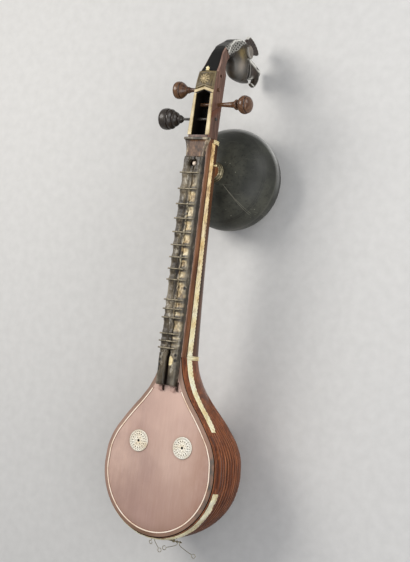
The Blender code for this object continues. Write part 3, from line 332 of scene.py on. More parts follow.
def outer_depth(y, offset=0.0):
    widest = widest_depth(y)
    return widest + (body_depth(y) + offset - widest) * superellipse(tail_share(y, offset))


def outer_rise(y, offset=0.0):
    board = board_half(y)
    if board > 0.5:
        rim = max(0.0, board + offset) / outer_half(y, offset)
        return widest_depth(y) / (1 - min(rim, 0.9995) ** ROUNDNESS) ** (1 / ROUNDNESS)
    rim = BOARD_TAIL / (BOARD_TAIL + BOWL_BULGE)
    whole = BOWL_WIDEST_DEPTH / (1 - rim ** ROUNDNESS) ** (1 / ROUNDNESS)
    return whole * superellipse(tail_share(y, offset))


def side_x(y, depth, offset=0.0):
    """Half width of the body's outside at y and a depth."""
    below = depth - widest_depth(y)
    reach = outer_depth(y, offset) - widest_depth(y) if below > 0 else outer_rise(y, offset)
    return outer_half(y, offset) * superellipse(below / max(reach, 1e-6))


def girth(y, offset=0.0):
    """The body's outside at y, from angles to points; they run from the right side under it to the left."""
    widest, rise, half = widest_depth(y), outer_rise(y, offset), outer_half(y, offset)
    low = outer_depth(y, offset) - widest

    def point(angle):
        up = signed(math.sin(angle), 2 / ROUNDNESS)
        return (half * signed(math.cos(angle), 2 / ROUNDNESS), y, up * (rise if up > 0 else low) - widest)
    return point


def section(y, count, top):
    """Points round the body's outside at y, from its right edge at depth top, under it, to the left edge."""
    rim = math.asin(clamp((widest_depth(y) - top) / outer_rise(y)) ** (ROUNDNESS / 2))
    return list(map(girth(y), arc(count, rim, -math.pi - rim)))


def even_section(y, count, top):
    """The line of section, with its points spread evenly along it."""
    line = np.array(section(y, 500, top))
    run = np.concatenate([[0.0], np.cumsum(np.hypot(np.diff(line[:, 0]), np.diff(line[:, 2])))])
    places = np.linspace(0, run[-1], count + 1)
    return zip(np.interp(places, run, line[:, 0]), np.interp(places, run, line[:, 2]))


# Materials: each is a small graph, written through this helper
class Graph:
    def __init__(self, name):
        self.material = bpy.data.materials.new(name)
        self.material.use_nodes = True
        self.tree = self.material.node_tree
        self.shader = self.tree.nodes["Principled BSDF"]
        self.kept = {}
        self.colour = None

    def node(self, kind, **settings):
        made = self.tree.nodes.new(kind)
        for key, value in settings.items():
            setattr(made, key, value)
        return made

    def put(self, socket, value):
        if isinstance(value, bpy.types.NodeSocket):
            self.tree.links.new(value, socket)
        elif isinstance(value, (tuple, list)) and len(value) == 3 and len(socket.default_value) == 4:
            socket.default_value = (*value, 1.0)
        else:
            socket.default_value = value

    def filled(self, made, **values):
        """A node with sockets set by name, an underscore standing for a space."""
        for key, value in values.items():
            self.put(made.inputs[key.replace("_", " ")], value)
        return made

    def math(self, operation, *values, clamp=False):
        made = self.node("ShaderNodeMath", operation=operation, use_clamp=clamp)
        for socket, value in zip(made.inputs, values):
            self.put(socket, value)
        return made.outputs[0]

    def above(self, value, at, soft):
        """0 below a height and 1 above it, with a soft edge."""
        return self.math("MULTIPLY_ADD", value, 1 / soft, 0.5 - at / soft, clamp=True)

    def below(self, value, at, soft):
        return self.math("MULTIPLY_ADD", value, -1 / soft, 0.5 + at / soft, clamp=True)

    def line(self, value, at, half, soft):
        return self.below(self.math("ABSOLUTE", self.math("SUBTRACT", value, at)), half, soft)

    def chain(self, operation, first, *rest):
        for value in rest:
            first = self.math(operation, first, value)
        return first

    def both(self, *values):
        return self.chain("MULTIPLY", *values)

    def either(self, *values):
        return self.chain("MAXIMUM", *values)

    def total(self, *terms):
        """The sum of values, each times its number."""
        return self.chain("ADD", *(self.both(*term) for term in terms))

    def distance(self, dx, dy):
        return self.math("SQRT", self.total((dx, dx), (dy, dy)))

    def frame_place(self):
        """Where a point lies in the instrument's frame, in metres."""
        if "place" not in self.kept:
            shift = (0, (COS * BACK - SIN * LIFT) / METRE, (-SIN * BACK - COS * LIFT) / METRE)
            made = self.node("ShaderNodeMapping", vector_type="POINT")
            here = self.node("ShaderNodeTexCoord").outputs["Object"]
            self.filled(made, Vector=here, Rotation=(-TILT, 0, 0), Location=shift)
            self.kept["place"] = made.outputs[0]
        return self.kept["place"]

    def place(self, scale=(1, 1, 1), shift=(0, 0, 0)):
        made = self.node("ShaderNodeMapping", vector_type="POINT")
        return self.filled(made, Vector=self.frame_place(), Scale=scale, Location=shift).outputs[0]

    def xyz(self):
        """The instrument's x, y and z in millimetres."""
        if "xyz" not in self.kept:
            made = self.node("ShaderNodeSeparateXYZ")
            self.put(made.inputs[0], self.place((METRE, METRE, METRE)))
            self.kept["xyz"] = tuple(made.outputs)
        return self.kept["xyz"]

    def noise(self, place, scale, detail=4.0, rough=0.55, distortion=0.0):
        made = self.node("ShaderNodeTexNoise")
        self.filled(made, Vector=place, Scale=scale, Detail=detail, Roughness=rough, Distortion=distortion)
        return made.outputs["Fac"]

    def cells(self, scale):
        made = self.node("ShaderNodeTexVoronoi", feature="F1")
        return self.filled(made, Vector=self.place(), Scale=scale).outputs["Distance"]

    def ramp(self, value, *stops):
        """Colours or heights along a value: (place, colour or grey) stops."""
        made = self.node("ShaderNodeValToRGB")
        self.put(made.inputs[0], value)
        line = made.color_ramp.elements
        while len(line) < len(stops):
            line.new(0.5)
        for item, (place, colour) in zip(line, stops):
            item.position = place
            colour = colour if isinstance(colour, (tuple, list)) else (colour,) * 3
            item.color = (*colour, 1.0)
        return made.outputs[0]

    def fade(self, value, full, none):
        """1 up to one height of a value, falling to 0 at a greater one."""
        return self.ramp(value, (full, 1.0), (none, 0.0))

    def mix(self, share, a, b):
        made = self.node("ShaderNodeMix", data_type="RGBA", blend_type="MIX", clamp_factor=True)
        self.put(made.inputs[0], share)
        self.put(made.inputs[6], a)
        self.put(made.inputs[7], b)
        return made.outputs[2]

    def paint(self, name):
        """A value that the mesh carries at its points."""
        return self.node("ShaderNodeAttribute", attribute_name=name).outputs["Fac"]

    def lay(self, tone, *shares):
        """Another colour over the material's own, as far as the product of the shares says."""
        self.colour = self.mix(self.both(*shares), self.colour, tone)

    def painted(self, **tones):
        """Colours laid where the mesh carries the values of their names."""
        for name, tone in tones.items():
            self.lay(tone, self.paint(name))

    def bump(self, height, distance, strength=1.0, under=None):
        made = self.node("ShaderNodeBump")
        self.filled(made, Height=height, Distance=distance, Strength=strength)
        if under is not None:
            self.put(made.inputs["Normal"], under)
        return made.outputs[0]

    def polar(self):
        """Radius and turn round each rosette's middle."""
        x, y = self.xyz()[:2]
        dx = self.math("SUBTRACT", self.math("ABSOLUTE", x), ROSETTE_X)
        dy = self.math("SUBTRACT", y, ROSETTE_Y)
        return self.distance(dx, dy), self.math("ARCTAN2", dy, dx)

    def dots(self, share, pitch, across, size):
        """Round dots a pitch apart; share counts the dots, and across is the way from their line."""
        part = self.math("SUBTRACT", self.math("FRACT", share), 0.5)
        return self.below(self.distance(self.both(part, pitch), across), size, 0.25)

    def ring_of_dots(self, radius, turn, at, count, size):
        share = self.math("ADD", self.math("MULTIPLY_ADD", turn, count / (2 * math.pi), 0.5), 100.0)
        return self.dots(share, 2 * math.pi * at / count, self.math("SUBTRACT", radius, at), size)

    def row_of_dots(self, along, across, pitch, at, size):
        share = self.math("MULTIPLY_ADD", along, 1 / pitch, 100.0)
        return self.dots(share, pitch, self.math("SUBTRACT", across, at), size)

    def finish(self, roughness, normal=None, metallic=0.0, coat=0.0, coat_roughness=0.2, specular=0.5):
        self.filled(self.shader, Base_Color=self.colour, Roughness=roughness, Metallic=metallic,
                    Coat_Weight=coat, Coat_Roughness=coat_roughness, Specular_IOR_Level=specular)
        if normal is not None:
            self.put(self.shader.inputs["Normal"], normal)
        return self.material


def rgb(red, green, blue):
    """A colour as it is seen on a screen, 0 to 255, as Blender's linear values."""
    def linear(v):
        v = v / 255
        return v / 12.92 if v <= 0.04045 else ((v + 0.055) / 1.055) ** 2.4
    return (linear(red), linear(green), linear(blue))


def board_material():
    g = Graph("soundboard_wood")
    grain = g.noise(g.place((60, 2.2, 60)), 3.0, 6, 0.6, 0.3)
    fine = g.noise(g.place((260, 8, 260)), 4.0, 3, 0.6)
    cloud = g.noise(g.place((1, 0.8, 1), (3.1, 0.4, 0)), 7.0, 3, 0.5)
    blotch = g.noise(g.place((1, 0.6, 1), (0.3, 1.7, 0)), 14.0, 4, 0.6)
    g.colour = g.ramp(grain, (0.30, rgb(184, 148, 130)), (0.52, rgb(200, 168, 152)),
                      (0.72, rgb(212, 182, 167)))
    g.lay(g.ramp(cloud, (0.35, rgb(168, 136, 127)), (0.6, rgb(214, 184, 168))), 0.5)
    g.lay(rgb(146, 110, 95), g.fade(fine, 0.35, 0.6), g.math("ADD", grain, -0.35))
    x, y = g.xyz()[:2]
    g.lay(rgb(236, 202, 184), g.above(y, 270, 180), 0.75)
    g.lay(rgb(136, 98, 82), g.below(y, 40, 200), g.above(cloud, 0.42, 0.4), 0.9)
    g.lay(rgb(140, 112, 106), g.below(x, -40, 160), g.above(blotch, 0.5, 0.25), 0.45)
    g.lay(rgb(152, 108, 84), g.above(x, 96, 90), g.above(blotch, 0.42, 0.3), 0.6)
    g.lay(rgb(124, 94, 92), g.line(x, -30, 26, 40), g.line(y, 128, 24, 40), g.above(blotch, 0.45, 0.2), 0.2)
    radius = g.polar()[0]
    g.lay(rgb(140, 110, 92), g.below(radius, 30, 9), g.above(cloud, 0.4, 0.4), 0.35)
    g.painted(dirt=g.ramp(cloud, (0.35, rgb(112, 84, 62)), (0.65, rgb(150, 118, 100))),
              worn=g.ramp(fine, (0.35, rgb(66, 62, 56)), (0.65, rgb(112, 108, 100))))
    g.lay(rgb(74, 58, 46), g.line(radius, 27.2, 0.5, 0.3), 0.8)
    # Painted shade: near black in the middle of each rosette, seen through its hole.
    g.lay(rgb(10, 8, 6), g.below(radius, 4, 0.4))
    gate = g.above(g.noise(g.place(), 30, 2), 0.63, 0.06)
    g.lay(rgb(90, 66, 54), g.below(g.cells(90), 0.05, 0.02), gate)
    roughness = g.ramp(cloud, (0.3, 0.42), (0.7, 0.6))
    return g.finish(roughness, g.bump(grain, 0.0002, 0.35), specular=0.4)


def wood_material(name, dark, middle, light, gloss=(0.4, 0.6), dirt=rgb(38, 22, 14), scale=2.0, coat=0.0,
                  extra=None, worn=None, specular=0.3):
    """Polished wood with its grain along the instrument, dark in its grooves, with dirt and painted shade,
    and pale on its edges, with wear and painted highlights.
    """
    g = Graph(name)
    grain = g.noise(g.place((34 * scale, 2.0, 34 * scale)), 3.5, 7, 0.62, 0.6)
    streak = g.noise(g.place((110 * scale, 3.0, 110 * scale), (0.7, 0.2, 0.4)), 3.0, 4, 0.6)
    cloud = g.noise(g.place(), 9.0, 4, 0.55)
    g.colour = g.ramp(grain, (0.28, dark), (0.5, middle), (0.72, light))
    g.lay(dark, g.fade(streak, 0.32, 0.5), 0.55)
    g.lay(light, g.ramp(cloud, (0.45, 0.0), (0.7, 1.0)), 0.45)
    g.painted(groove=dirt, edge=worn or light)
    if extra:
        extra(g, cloud)
    roughness = g.ramp(cloud, (0.3, gloss[0]), (0.7, gloss[1]))
    return g.finish(roughness, g.bump(streak, 0.00025, 0.4), coat=coat, coat_roughness=0.18,
                    specular=specular)


def pegbox_marks(g, cloud):
    """The stain and line at the slanted joint, painted shade in the empty hole and the slot's inside, and the
    scroll's black front.
    """
    x, y, z = g.xyz()
    up = g.both(g.math("SUBTRACT", y, NECK_END_Y + SCARF_FRONT), math.cos(SCARF_SLOPE))
    across = g.math("ADD", up, g.both(z, math.sin(SCARF_SLOPE)))
    g.lay(rgb(96, 50, 26), g.line(across, -6, 7, 8), g.above(cloud, 0.40, 0.2), 0.85)
    g.lay(rgb(36, 22, 16), g.line(across, 0, 0.45, 0.3))
    along, depth = EMPTY_HOLE
    hole = g.distance(g.math("SUBTRACT", y, NECK_END_Y + along), g.math("ADD", z, depth))
    g.lay(rgb(12, 9, 8), g.below(hole, EMPTY_BORE - 0.1, 0.5), g.below(x, 25.2, 0.4))
    g.lay(rgb(22, 17, 12), g.below(g.math("ABSOLUTE", x), SLOT_HALF + 0.4, 0.3),
          g.above(z, -SLOT_DEPTH - 0.8, 0.4), g.above(y, NECK_END_Y + SLOT_START - 0.4, 0.4),
          g.below(y, NECK_END_Y + SLOT_END + 12, 0.5))
    g.painted(black=rgb(15, 13, 10))


def ivory_material(name, tones=((255, 250, 214), (246, 228, 174), (204, 168, 108)), pattern=None, tint=None):
    pale, cream, brown = (rgb(*tone) for tone in tones)
    g = Graph(name)
    cloud = g.noise(g.place(), 26.0, 5, 0.6)
    grain = g.noise(g.place((200, 12, 200)), 3.0, 3, 0.6)
    g.colour = g.ramp(cloud, (0.3, brown), (0.46, cream), (0.62, pale))
    g.lay(cream, g.fade(grain, 0.36, 0.5), 0.35)
    if tint:
        tint(g)
    g.painted(dirt=rgb(124, 96, 60))
    height = cloud
    if pattern:
        engraved = pattern(g)
        g.lay(rgb(74, 64, 42), engraved, 0.85)
        height = g.math("SUBTRACT", g.both(cloud, 0.5), engraved)
    g.painted(groove=rgb(70, 54, 36), edge=rgb(150, 112, 70))
    return g.finish(g.ramp(cloud, (0.3, 0.5), (0.7, 0.32)), g.bump(height, 0.0003, 0.5), coat=0.1)


def rosette_pattern(g):
    radius, turn = g.polar()

    def lobes(wave, count, size, start, half):
        """A line of lobes round the middle."""
        swing = g.math("ABSOLUTE", g.math(wave, g.both(turn, count)))
        return g.line(g.math("SUBTRACT", radius, g.math("MULTIPLY_ADD", swing, size, start)), 0, half, 0.25)

    petals = g.both(lobes("COSINE", 6.0, 6.2, 5.0, 0.28), g.below(radius, 11.8, 0.4))
    dots = [g.ring_of_dots(radius, turn, at, count, size)
            for at, count, size in ((16.8, 16, 1.9), (22.4, 24, 1.15), (8.0, 6, 1.2))]
    circles = [g.line(radius, at, half, 0.2) for at, half in ((12.6, 0.3), (20.8, 0.3), (25.4, 0.25))]
    return g.either(petals, lobes("SINE", 12.0, 2.4, 21.6, 0.25), *dots, *circles, g.below(radius, 3.6, 0.3))


def strip_pattern(g):
    """Dots and lines cut into the side strips, counted along them and across them in millimetres."""
    along, across = g.paint("along"), g.paint("across")
    big = g.row_of_dots(along, across, SCALLOP_PITCH, 12.6, 0.8)
    fine = g.row_of_dots(along, across, SCALLOP_PITCH / 3, 3.6, 0.4)
    lines = g.either(g.line(across, 2.2, 0.15, 0.15), g.line(across, 5.0, 0.15, 0.15))
    return g.either(big, g.both(g.either(fine, lines), 0.3))


def strip_tint(g):
    """The side strips are golden brown towards the head."""
    speck = g.noise(g.place((1, 0.5, 1)), 110.0, 4, 0.6)
    gold = g.ramp(speck, (0.36, rgb(132, 84, 38)), (0.5, rgb(222, 176, 106)), (0.64, rgb(255, 226, 164)))
    g.lay(gold, g.above(g.xyz()[1], 640, 520), 0.85)
    g.lay(rgb(170, 126, 66), g.below(speck, 0.42, 0.08), 0.35)


def wax_material():
    g = Graph("fret_wax")
    lump = g.noise(g.place((1, 0.45, 1)), 90.0, 6, 0.65)
    cloud = g.noise(g.place((1, 0.35, 1)), 34.0, 4, 0.6)
    g.colour = g.ramp(cloud, (0.34, rgb(42, 34, 23)), (0.5, rgb(80, 69, 50)), (0.64, rgb(124, 112, 91)))
    g.lay(rgb(40, 30, 20), g.fade(lump, 0.34, 0.48), 0.8)
    g.lay(rgb(196, 188, 170), g.above(lump, 0.61, 0.06), g.above(cloud, 0.48, 0.1), 0.7)
    patch = g.ramp(lump, (0.36, rgb(110, 80, 46)), (0.46, rgb(208, 182, 134)), (0.62, rgb(250, 236, 198)))
    g.painted(worn=patch, edge=rgb(168, 160, 142), groove=rgb(22, 15, 9))
    return g.finish(g.ramp(lump, (0.3, 0.55), (0.7, 0.35)), g.bump(lump, 0.0011, 0.8))


def metal_material(name, dark, light, gloss=(0.4, 0.6), metallic=0.7):
    g = Graph(name)
    cloud = g.noise(g.place(), 120.0, 5, 0.6)
    g.colour = g.ramp(cloud, (0.3, dark), (0.6, light))
    g.painted(groove=tuple(0.25 * v for v in dark), edge=tuple(min(1.0, 1.15 * v) for v in light))
    roughness = g.ramp(cloud, (0.3, gloss[1]), (0.7, gloss[0]))
    return g.finish(roughness, g.bump(cloud, 0.0002, 0.5), metallic=metallic)


def gourd_material():
    g = Graph("gourd_skin")
    cloud = g.noise(g.place(), 8.0, 5, 0.55)
    fine = g.noise(g.place(), 130.0, 4, 0.7)
    g.colour = g.ramp(cloud, (0.36, rgb(32, 32, 27)), (0.5, rgb(50, 51, 44)), (0.64, rgb(74, 74, 64)))
    g.lay(rgb(30, 30, 25), g.fade(fine, 0.36, 0.48), 0.6)
    g.lay(rgb(140, 138, 124), g.above(g.noise(g.place((3, 60, 3)), 5.0, 3, 0.5), 0.69, 0.06), 0.25)
    g.lay(rgb(160, 158, 140), g.below(g.cells(60), 0.06, 0.03), g.above(cloud, 0.57, 0.05))
    x, y, z = g.xyz()
    # Two long scratches run out from the collar across the face.
    for slope, shift in ((1.16, 0.0), (1.02, 5.0)):
        off = g.math("ADD", g.both(x, slope), g.math("ADD", y, -BOLT_Y + shift))
        reach = g.both(g.above(x, 30, 8), g.below(x, 92, 20), g.above(z, -150, 4))
        g.lay(rgb(150, 146, 130), g.line(off, 0, 0.7, 0.8), reach, 0.6)
    g.painted(groove=rgb(34, 33, 28), edge=rgb(150, 148, 134))

    # A painted highlight lies pale along the rim on the side of the head.
    beyond = g.math("ADD", y, -BOLT_Y)
    height = g.math("ADD", g.total((beyond, SIN), (z, COS)), GOURD_WIDE_DEPTH)
    up = g.both(height, GOURD_RADIUS / (GOURD_WIDE_DEPTH - GOURD_FACE_DEPTH) ** 2)
    ahead = g.total((beyond, COS / GOURD_RADIUS), (z, -SIN / GOURD_RADIUS))
    beside = g.both(x, 1 / GOURD_RADIUS)
    inward = g.total((beside, 0.5), (ahead, -0.16 * COS - 0.85 * SIN), (up, 0.85 * COS - 0.16 * SIN))
    corner = g.total((beside, 0.6), (ahead, 0.8))
    g.lay(rgb(214, 214, 210), g.below(inward, 0.38, 0.32), g.above(corner, 0.6, 0.6),
          g.above(up, -0.36, 0.36), g.ramp(cloud, (0.3, 0.5), (0.6, 0.95)),
          g.ramp(fine, (0.36, 0.6), (0.6, 1.0)))
    skin = g.bump(cloud, 0.002, 0.35, under=g.bump(fine, 0.0003, 0.4))
    roughness = g.ramp(fine, (0.3, 0.42), (0.7, 0.56))
    return g.finish(roughness, skin, coat=0.08, coat_roughness=0.35, specular=0.35)


def head_material():
    g = Graph("carved_head")
    cloud = g.noise(g.place(), 34.0, 5, 0.6)
    fine = g.noise(g.place(), 240.0, 4, 0.65)
    g.colour = g.ramp(cloud, (0.36, rgb(22, 16, 9)), (0.5, rgb(37, 29, 19)), (0.64, rgb(64, 53, 37)))
    g.lay(rgb(22, 15, 9), g.fade(fine, 0.34, 0.5), 0.5)
    g.painted(dirt=g.ramp(cloud, (0.4, rgb(44, 32, 14)), (0.6, rgb(116, 98, 52))),
              worn=g.ramp(cloud, (0.38, rgb(72, 54, 42)), (0.62, rgb(122, 102, 84))),
              along=g.ramp(fine, (0.36, rgb(28, 18, 14)), (0.64, rgb(66, 46, 38))),
              black=rgb(20, 17, 13), groove=rgb(18, 13, 10), edge=rgb(232, 230, 220))
    return g.finish(g.ramp(fine, (0.3, 0.5), (0.7, 0.34)), g.bump(fine, 0.0003, 0.5), coat=0.08, specular=0.3)


def panel_material():
    """Reddish wood between pale worn borders."""
    g = Graph("nut_panel_wood")
    cloud = g.noise(g.place((1, 0.6, 1)), 60.0, 5, 0.6)
    fine = g.noise(g.place((90, 8, 90)), 4.0, 4, 0.6)
    g.colour = g.ramp(cloud, (0.36, rgb(52, 32, 17)), (0.5, rgb(94, 62, 34)), (0.64, rgb(132, 94, 56)))
    g.lay(rgb(42, 27, 16), g.fade(fine, 0.34, 0.52), 0.5)
    border = g.ramp(cloud, (0.38, rgb(44, 41, 36)), (0.5, rgb(88, 81, 70)), (0.62, rgb(170, 156, 130)))
    g.painted(edge=border, groove=rgb(34, 28, 24))
    roughness = g.ramp(cloud, (0.3, 0.5), (0.7, 0.35))
    return g.finish(roughness, g.bump(cloud, 0.0008, 0.6), coat=0.05, specular=0.3)


# The bowl's edge colour paints highlights on its rib crests, and the neck's along its arris.
BOWL_WOOD = wood_material("bowl_wood", rgb(56, 23, 11), rgb(112, 60, 34), rgb(168, 100, 60), (0.22, 0.45),
                          rgb(30, 13, 7), 1.0, 0.08, worn=rgb(204, 130, 84), specular=0.2)
NECK_WOOD = wood_material("neck_wood", rgb(66, 33, 17), rgb(122, 76, 46), rgb(156, 110, 76), (0.22, 0.45),
                          scale=1.5, coat=0.08, worn=rgb(186, 156, 138), specular=0.2)
BOX_WOOD = wood_material("pegbox_wood", rgb(40, 20, 14), rgb(92, 63, 50), rgb(130, 96, 80), (0.35, 0.55),
                         scale=1.6, coat=0.05, extra=pegbox_marks, worn=rgb(186, 154, 138))
COVER_WOOD = wood_material("cover_wood", rgb(44, 35, 22), rgb(88, 75, 50), rgb(130, 114, 80), (0.35, 0.5),
                           rgb(30, 22, 13), 3.0, 0.05)
STUB_WOOD = wood_material("stub_wood", rgb(160, 124, 110), rgb(190, 156, 142), rgb(206, 176, 162))
PEG_WOOD = wood_material("peg_wood", rgb(40, 22, 14), rgb(84, 55, 37), rgb(132, 98, 70), (0.15, 0.3),
                         coat=0.25)
BLACK_WOOD = wood_material("black_peg", rgb(24, 20, 17), rgb(44, 38, 33), rgb(76, 70, 62), (0.25, 0.4),
                           coat=0.25)
DARK = wood_material("dark_wood", rgb(26, 16, 12), rgb(44, 28, 20), rgb(70, 46, 34))
RED_LINE = wood_material("red_line", rgb(96, 50, 36), rgb(126, 74, 56), rgb(150, 98, 78))
BOARD = board_material()
IVORY = ivory_material("ivory")
ROSETTE_IVORY = ivory_material("rosette_ivory", ((255, 252, 240), (250, 240, 218), (232, 210, 172)),
                               rosette_pattern)
STRIP_IVORY = ivory_material("strip_ivory", ((255, 252, 224), (254, 243, 194), (232, 202, 138)),
                             strip_pattern, strip_tint)
SLOT_IVORY = ivory_material("slot_ivory", ((208, 190, 142), (176, 154, 104), (118, 90, 52)))
PURFLING = ivory_material("purfling_ivory", ((255, 240, 222), (248, 226, 202), (222, 190, 160)))
WAX = wax_material()
FRET_METAL = metal_material("fret_metal", rgb(76, 67, 50), rgb(148, 138, 116), (0.35, 0.55), 0.4)
BRASS = metal_material("brass", rgb(84, 76, 52), rgb(176, 164, 132), (0.3, 0.5))
WIRE = metal_material("wire_brass", rgb(120, 110, 84), rgb(184, 174, 140), (0.25, 0.5))
GILT = metal_material("gilt", rgb(84, 68, 42), rgb(172, 154, 116), metallic=0.3)
CREAM_GILT = metal_material("cream_gilt", rgb(196, 168, 112), rgb(240, 224, 176), metallic=0.2)
GOURD_SKIN = gourd_material()
HEAD_SKIN = head_material()
PANEL = panel_material()
PAINTS = ("groove", "edge", "worn", "dirt", "black", "along", "across")


# Pieces
def flat(rows):
    return [point for row in rows for point in row]


def solid(name, points, faces):
    """A closed mesh with its faces turned outwards, and the normals of its points."""
    mesh = bpy.data.meshes.new(name)
    mesh.from_pydata(points.tolist(), [], faces)
    bm = bmesh.new()
    bm.from_mesh(mesh)
    bmesh.ops.recalc_face_normals(bm, faces=bm.faces)
    bm.normal_update()
    bm.to_mesh(mesh)
    normals = np.array([tuple(v.normal) for v in bm.verts])
    bm.free()
    return mesh, normals


def placed(name, data):
    made = bpy.data.objects.new(name, data)
    bpy.context.scene.collection.objects.link(made)
    return made


def piece(name, verts, faces, material, replaces=(), slot="", paints=None, smooth=50, body=ROOT):
    """A mesh object in the frame, from instrument millimetres, with values painted on its points."""
    points = world(verts)
    points[:, 2] = np.maximum(points[:, 2], 0.0)
    mesh = solid(name, points, faces)[0]
    for key in PAINTS:
        layer = mesh.attributes.new(key, "FLOAT", "POINT")
        if paints and key in paints:
            layer.data.foreach_set("value", [float(v) for v in paints[key]])
    mesh.materials.append(material)
    mesh.shade_smooth()
    mesh.set_sharp_from_angle(angle=math.radians(smooth))
    made = placed(name, mesh)
    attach(made, body)
    if replaces:
        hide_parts(*replaces)


def grid_faces(rows, columns, closed=False):
    """Quads over rows of points; closed joins each row's last point to its first."""
    faces = []
    for at in range(0, (rows - 1) * columns, columns):
        for k in range(columns if closed else columns - 1):
            after = (k + 1) % columns
            faces.append((at + k, at + after, at + columns + after, at + columns + k))
    return faces


def skin(rows, closed=False, under=False):
    """Points and faces of a solid from rows of points; under closes it between the ends of the rows."""
    count, size = len(rows), len(rows[0])
    last = (count - 1) * size
    faces = grid_faces(count, size, closed) + [tuple(range(size)), tuple(range(last, last + size))]
    if under:
        faces += [(at, at + size, at + 2 * size - 1, at + size - 1) for at in range(0, last, size)]
    return flat(rows), faces


def shell(name, outer, inner, material, replaces=(), slot="", paints=None, smooth=50):
    """A closed thin piece between two grids of points; its paints are for the outer grid."""
    rows, columns = len(outer), len(outer[0])
    base = rows * columns
    faces = grid_faces(rows, columns)
    faces += [tuple(base + v for v in face) for face in faces]
    rim = [(at + k, at + k + 1) for k in range(columns - 1) for at in (0, base - columns)]
    rim += [(at + i * columns, at + (i + 1) * columns) for i in range(rows - 1) for at in (0, columns - 1)]
    faces += [(a, b, base + b, base + a) for a, b in rim]
    both = {key: list(values) * 2 for key, values in (paints or {}).items()}
    piece(name, flat(outer) + flat(inner), faces, material, replaces, slot, both, smooth)


def turned(name, profile, centre, axis, material, replaces=(), slot="", count=96, ring=False, paints=None,
           smooth=50, body=ROOT):
    """A turned piece: profile is (radius, place) along the axis through centre, a closed loop for a ring."""
    along = Vector(axis).normalized()
    side = along.orthogonal().normalized()
    up = along.cross(side)
    around = [side * math.cos(angle) + up * math.sin(angle) for angle in turns(count)]
    rows = [[Vector(centre) + along * place + out * max(radius, 0.01) for out in around]
            for radius, place in profile]
    verts, faces = skin(rows, closed=True)
    if ring:
        faces = grid_faces(len(rows) + 1, count, closed=True)
        faces = [tuple(v % len(verts) for v in face) for face in faces]
    spread = {key: np.repeat(values, count) for key, values in (paints or {}).items()}
    piece(name, verts, faces, material, replaces, slot, spread, smooth, body)


def tube(points, radius, sides=10):
    """Points and faces of a bent round bar."""
    rows = []
    across = Vector((1, 0, 0))
    for i, point in enumerate(points):
        before = (point - points[max(i - 1, 0)]).normalized()
        after = (points[min(i + 1, len(points) - 1)] - point).normalized()
        along = (before + after).normalized()
        across = (across - along * across.dot(along)).normalized()
        up = along.cross(across)
        rows.append([point + (across * math.cos(a) + up * math.sin(a)) * radius for a in turns(sides)])
    return skin(rows, closed=True)


# Bowl and soundboard
def down_body(reach, first, tail_count, side_count):
    """Places from the tail to the joint, closest together at the tail."""
    tail = [BOWL_WIDE_Y - reach * math.cos(a) for a in arc(tail_count, first, math.pi / 2)]
    return tail + arc(side_count, BOWL_WIDE_Y, JOINT_Y)[1:]


def make_bowl():
    count = POINTS_PER_FLUTE * FLUTES
    rows, groove, edge = [], [], []
    for y in down_body(BOARD_TAIL + BOWL_BULGE, 0.04, 44, 120):
        top = min(BOARD_THICKNESS + GAP, widest_depth(y) * 0.98)
        # The wood is plain under the ivory strips, and nearly up to the soundboard between them.
        plain = 8 + 40 * step(SHOULDER_STRIP_Y - 10, SHOULDER_STRIP_Y + 6, y) + 25 * step(104, 90, y)
        row = []
        for k, (x, z) in enumerate(even_section(y, count, top)):
            depth, share = -z, k / count
            # Ribs run lengthwise and end under the shoulder in round leaf ends.
            ridge = abs(math.sin(math.pi * (share * FLUTES + 0.3 * rough(share * 40, 1.3, 0))))
            start = LEAF_END_Y - 34 * step(0.3, 0.95, abs(share - 0.5) * 2) - 16 * (1 - ridge)
            on = step(0, 16, start - y) * step(plain, plain + 8, depth) * step(-46, -20, y)
            valley = on * (1 - ridge ** RIB_EXPONENT)
            out = Vector((x, 0, z + widest_depth(y) + 20))
            out = out.normalized() if out.length > 1e-6 else Vector((0, 0, -1))
            lower = (RIB_DEPTH * valley + 0.25 * (1 + rough(x, y, z, 0.02))) * step(top + 0.5, top + 4, depth)
            row.append(Vector((x, y, z)) - out * lower)
            # The groove paint holds real stains, painted shade in the valleys between the ribs and over the
            # bowl's deeper part, and a darker low end near the tail; the edge paint is pale near the
            # soundboard and a painted highlight on the rib crests.
            stain = hills(x, y * 0.5, z, 0.03) * step(20, 60, depth)
            uneven = 0.5 + 0.5 * rough(x * 2, y * 0.4, z * 2, 0.03)
            low_end = step(150, 10, y) * step(10, 40, depth)
            groove.append(min(1.0, 0.8 * valley ** 1.5 + 0.45 * stain + 0.35 * step(90, 200, depth)
                              + 0.45 * low_end))
            edge.append(min(1.0, 0.35 * (1 - step(3.0, 8.0, depth))
                            + 0.75 * on * ridge ** 5 * uneven ** 1.5 * (1 - 0.6 * low_end)))
        rows.append(row)
    piece("bowl_shell", *skin(rows), BOWL_WOOD, ("bowl",), "bowl_wood", {"groove": groove, "edge": edge}, 60)


# The right edge of the soundboard, from the tail to the joint
BOARD_LINE = [(board_half(y), y) for y in down_body(BOARD_TAIL, 0, 90, 100)]


def inset(line, distance):
    out = []
    for i, (x, y) in enumerate(line):
        bx, by = line[i - 1] if i else (-line[1][0], line[1][1])
        ax, ay = line[min(i + 1, len(line) - 1)]
        dx, dy = ax - bx, ay - by
        n = math.hypot(dx, dy)
        out.append((x - dy / n * distance, y + dx / n * distance))
    return out


def from_edge(x, y):
    """How far each point of the soundboard lies from its edge."""
    line = np.array(BOARD_LINE)
    points = np.stack([np.abs(x), y], axis=1)
    return np.sqrt(((points[:, None, :] - line[None, :, :]) ** 2).sum(axis=2)).min(axis=1)


def unit(values):
    """Values held between 0 and 1."""
    return np.clip(values, 0, 1)


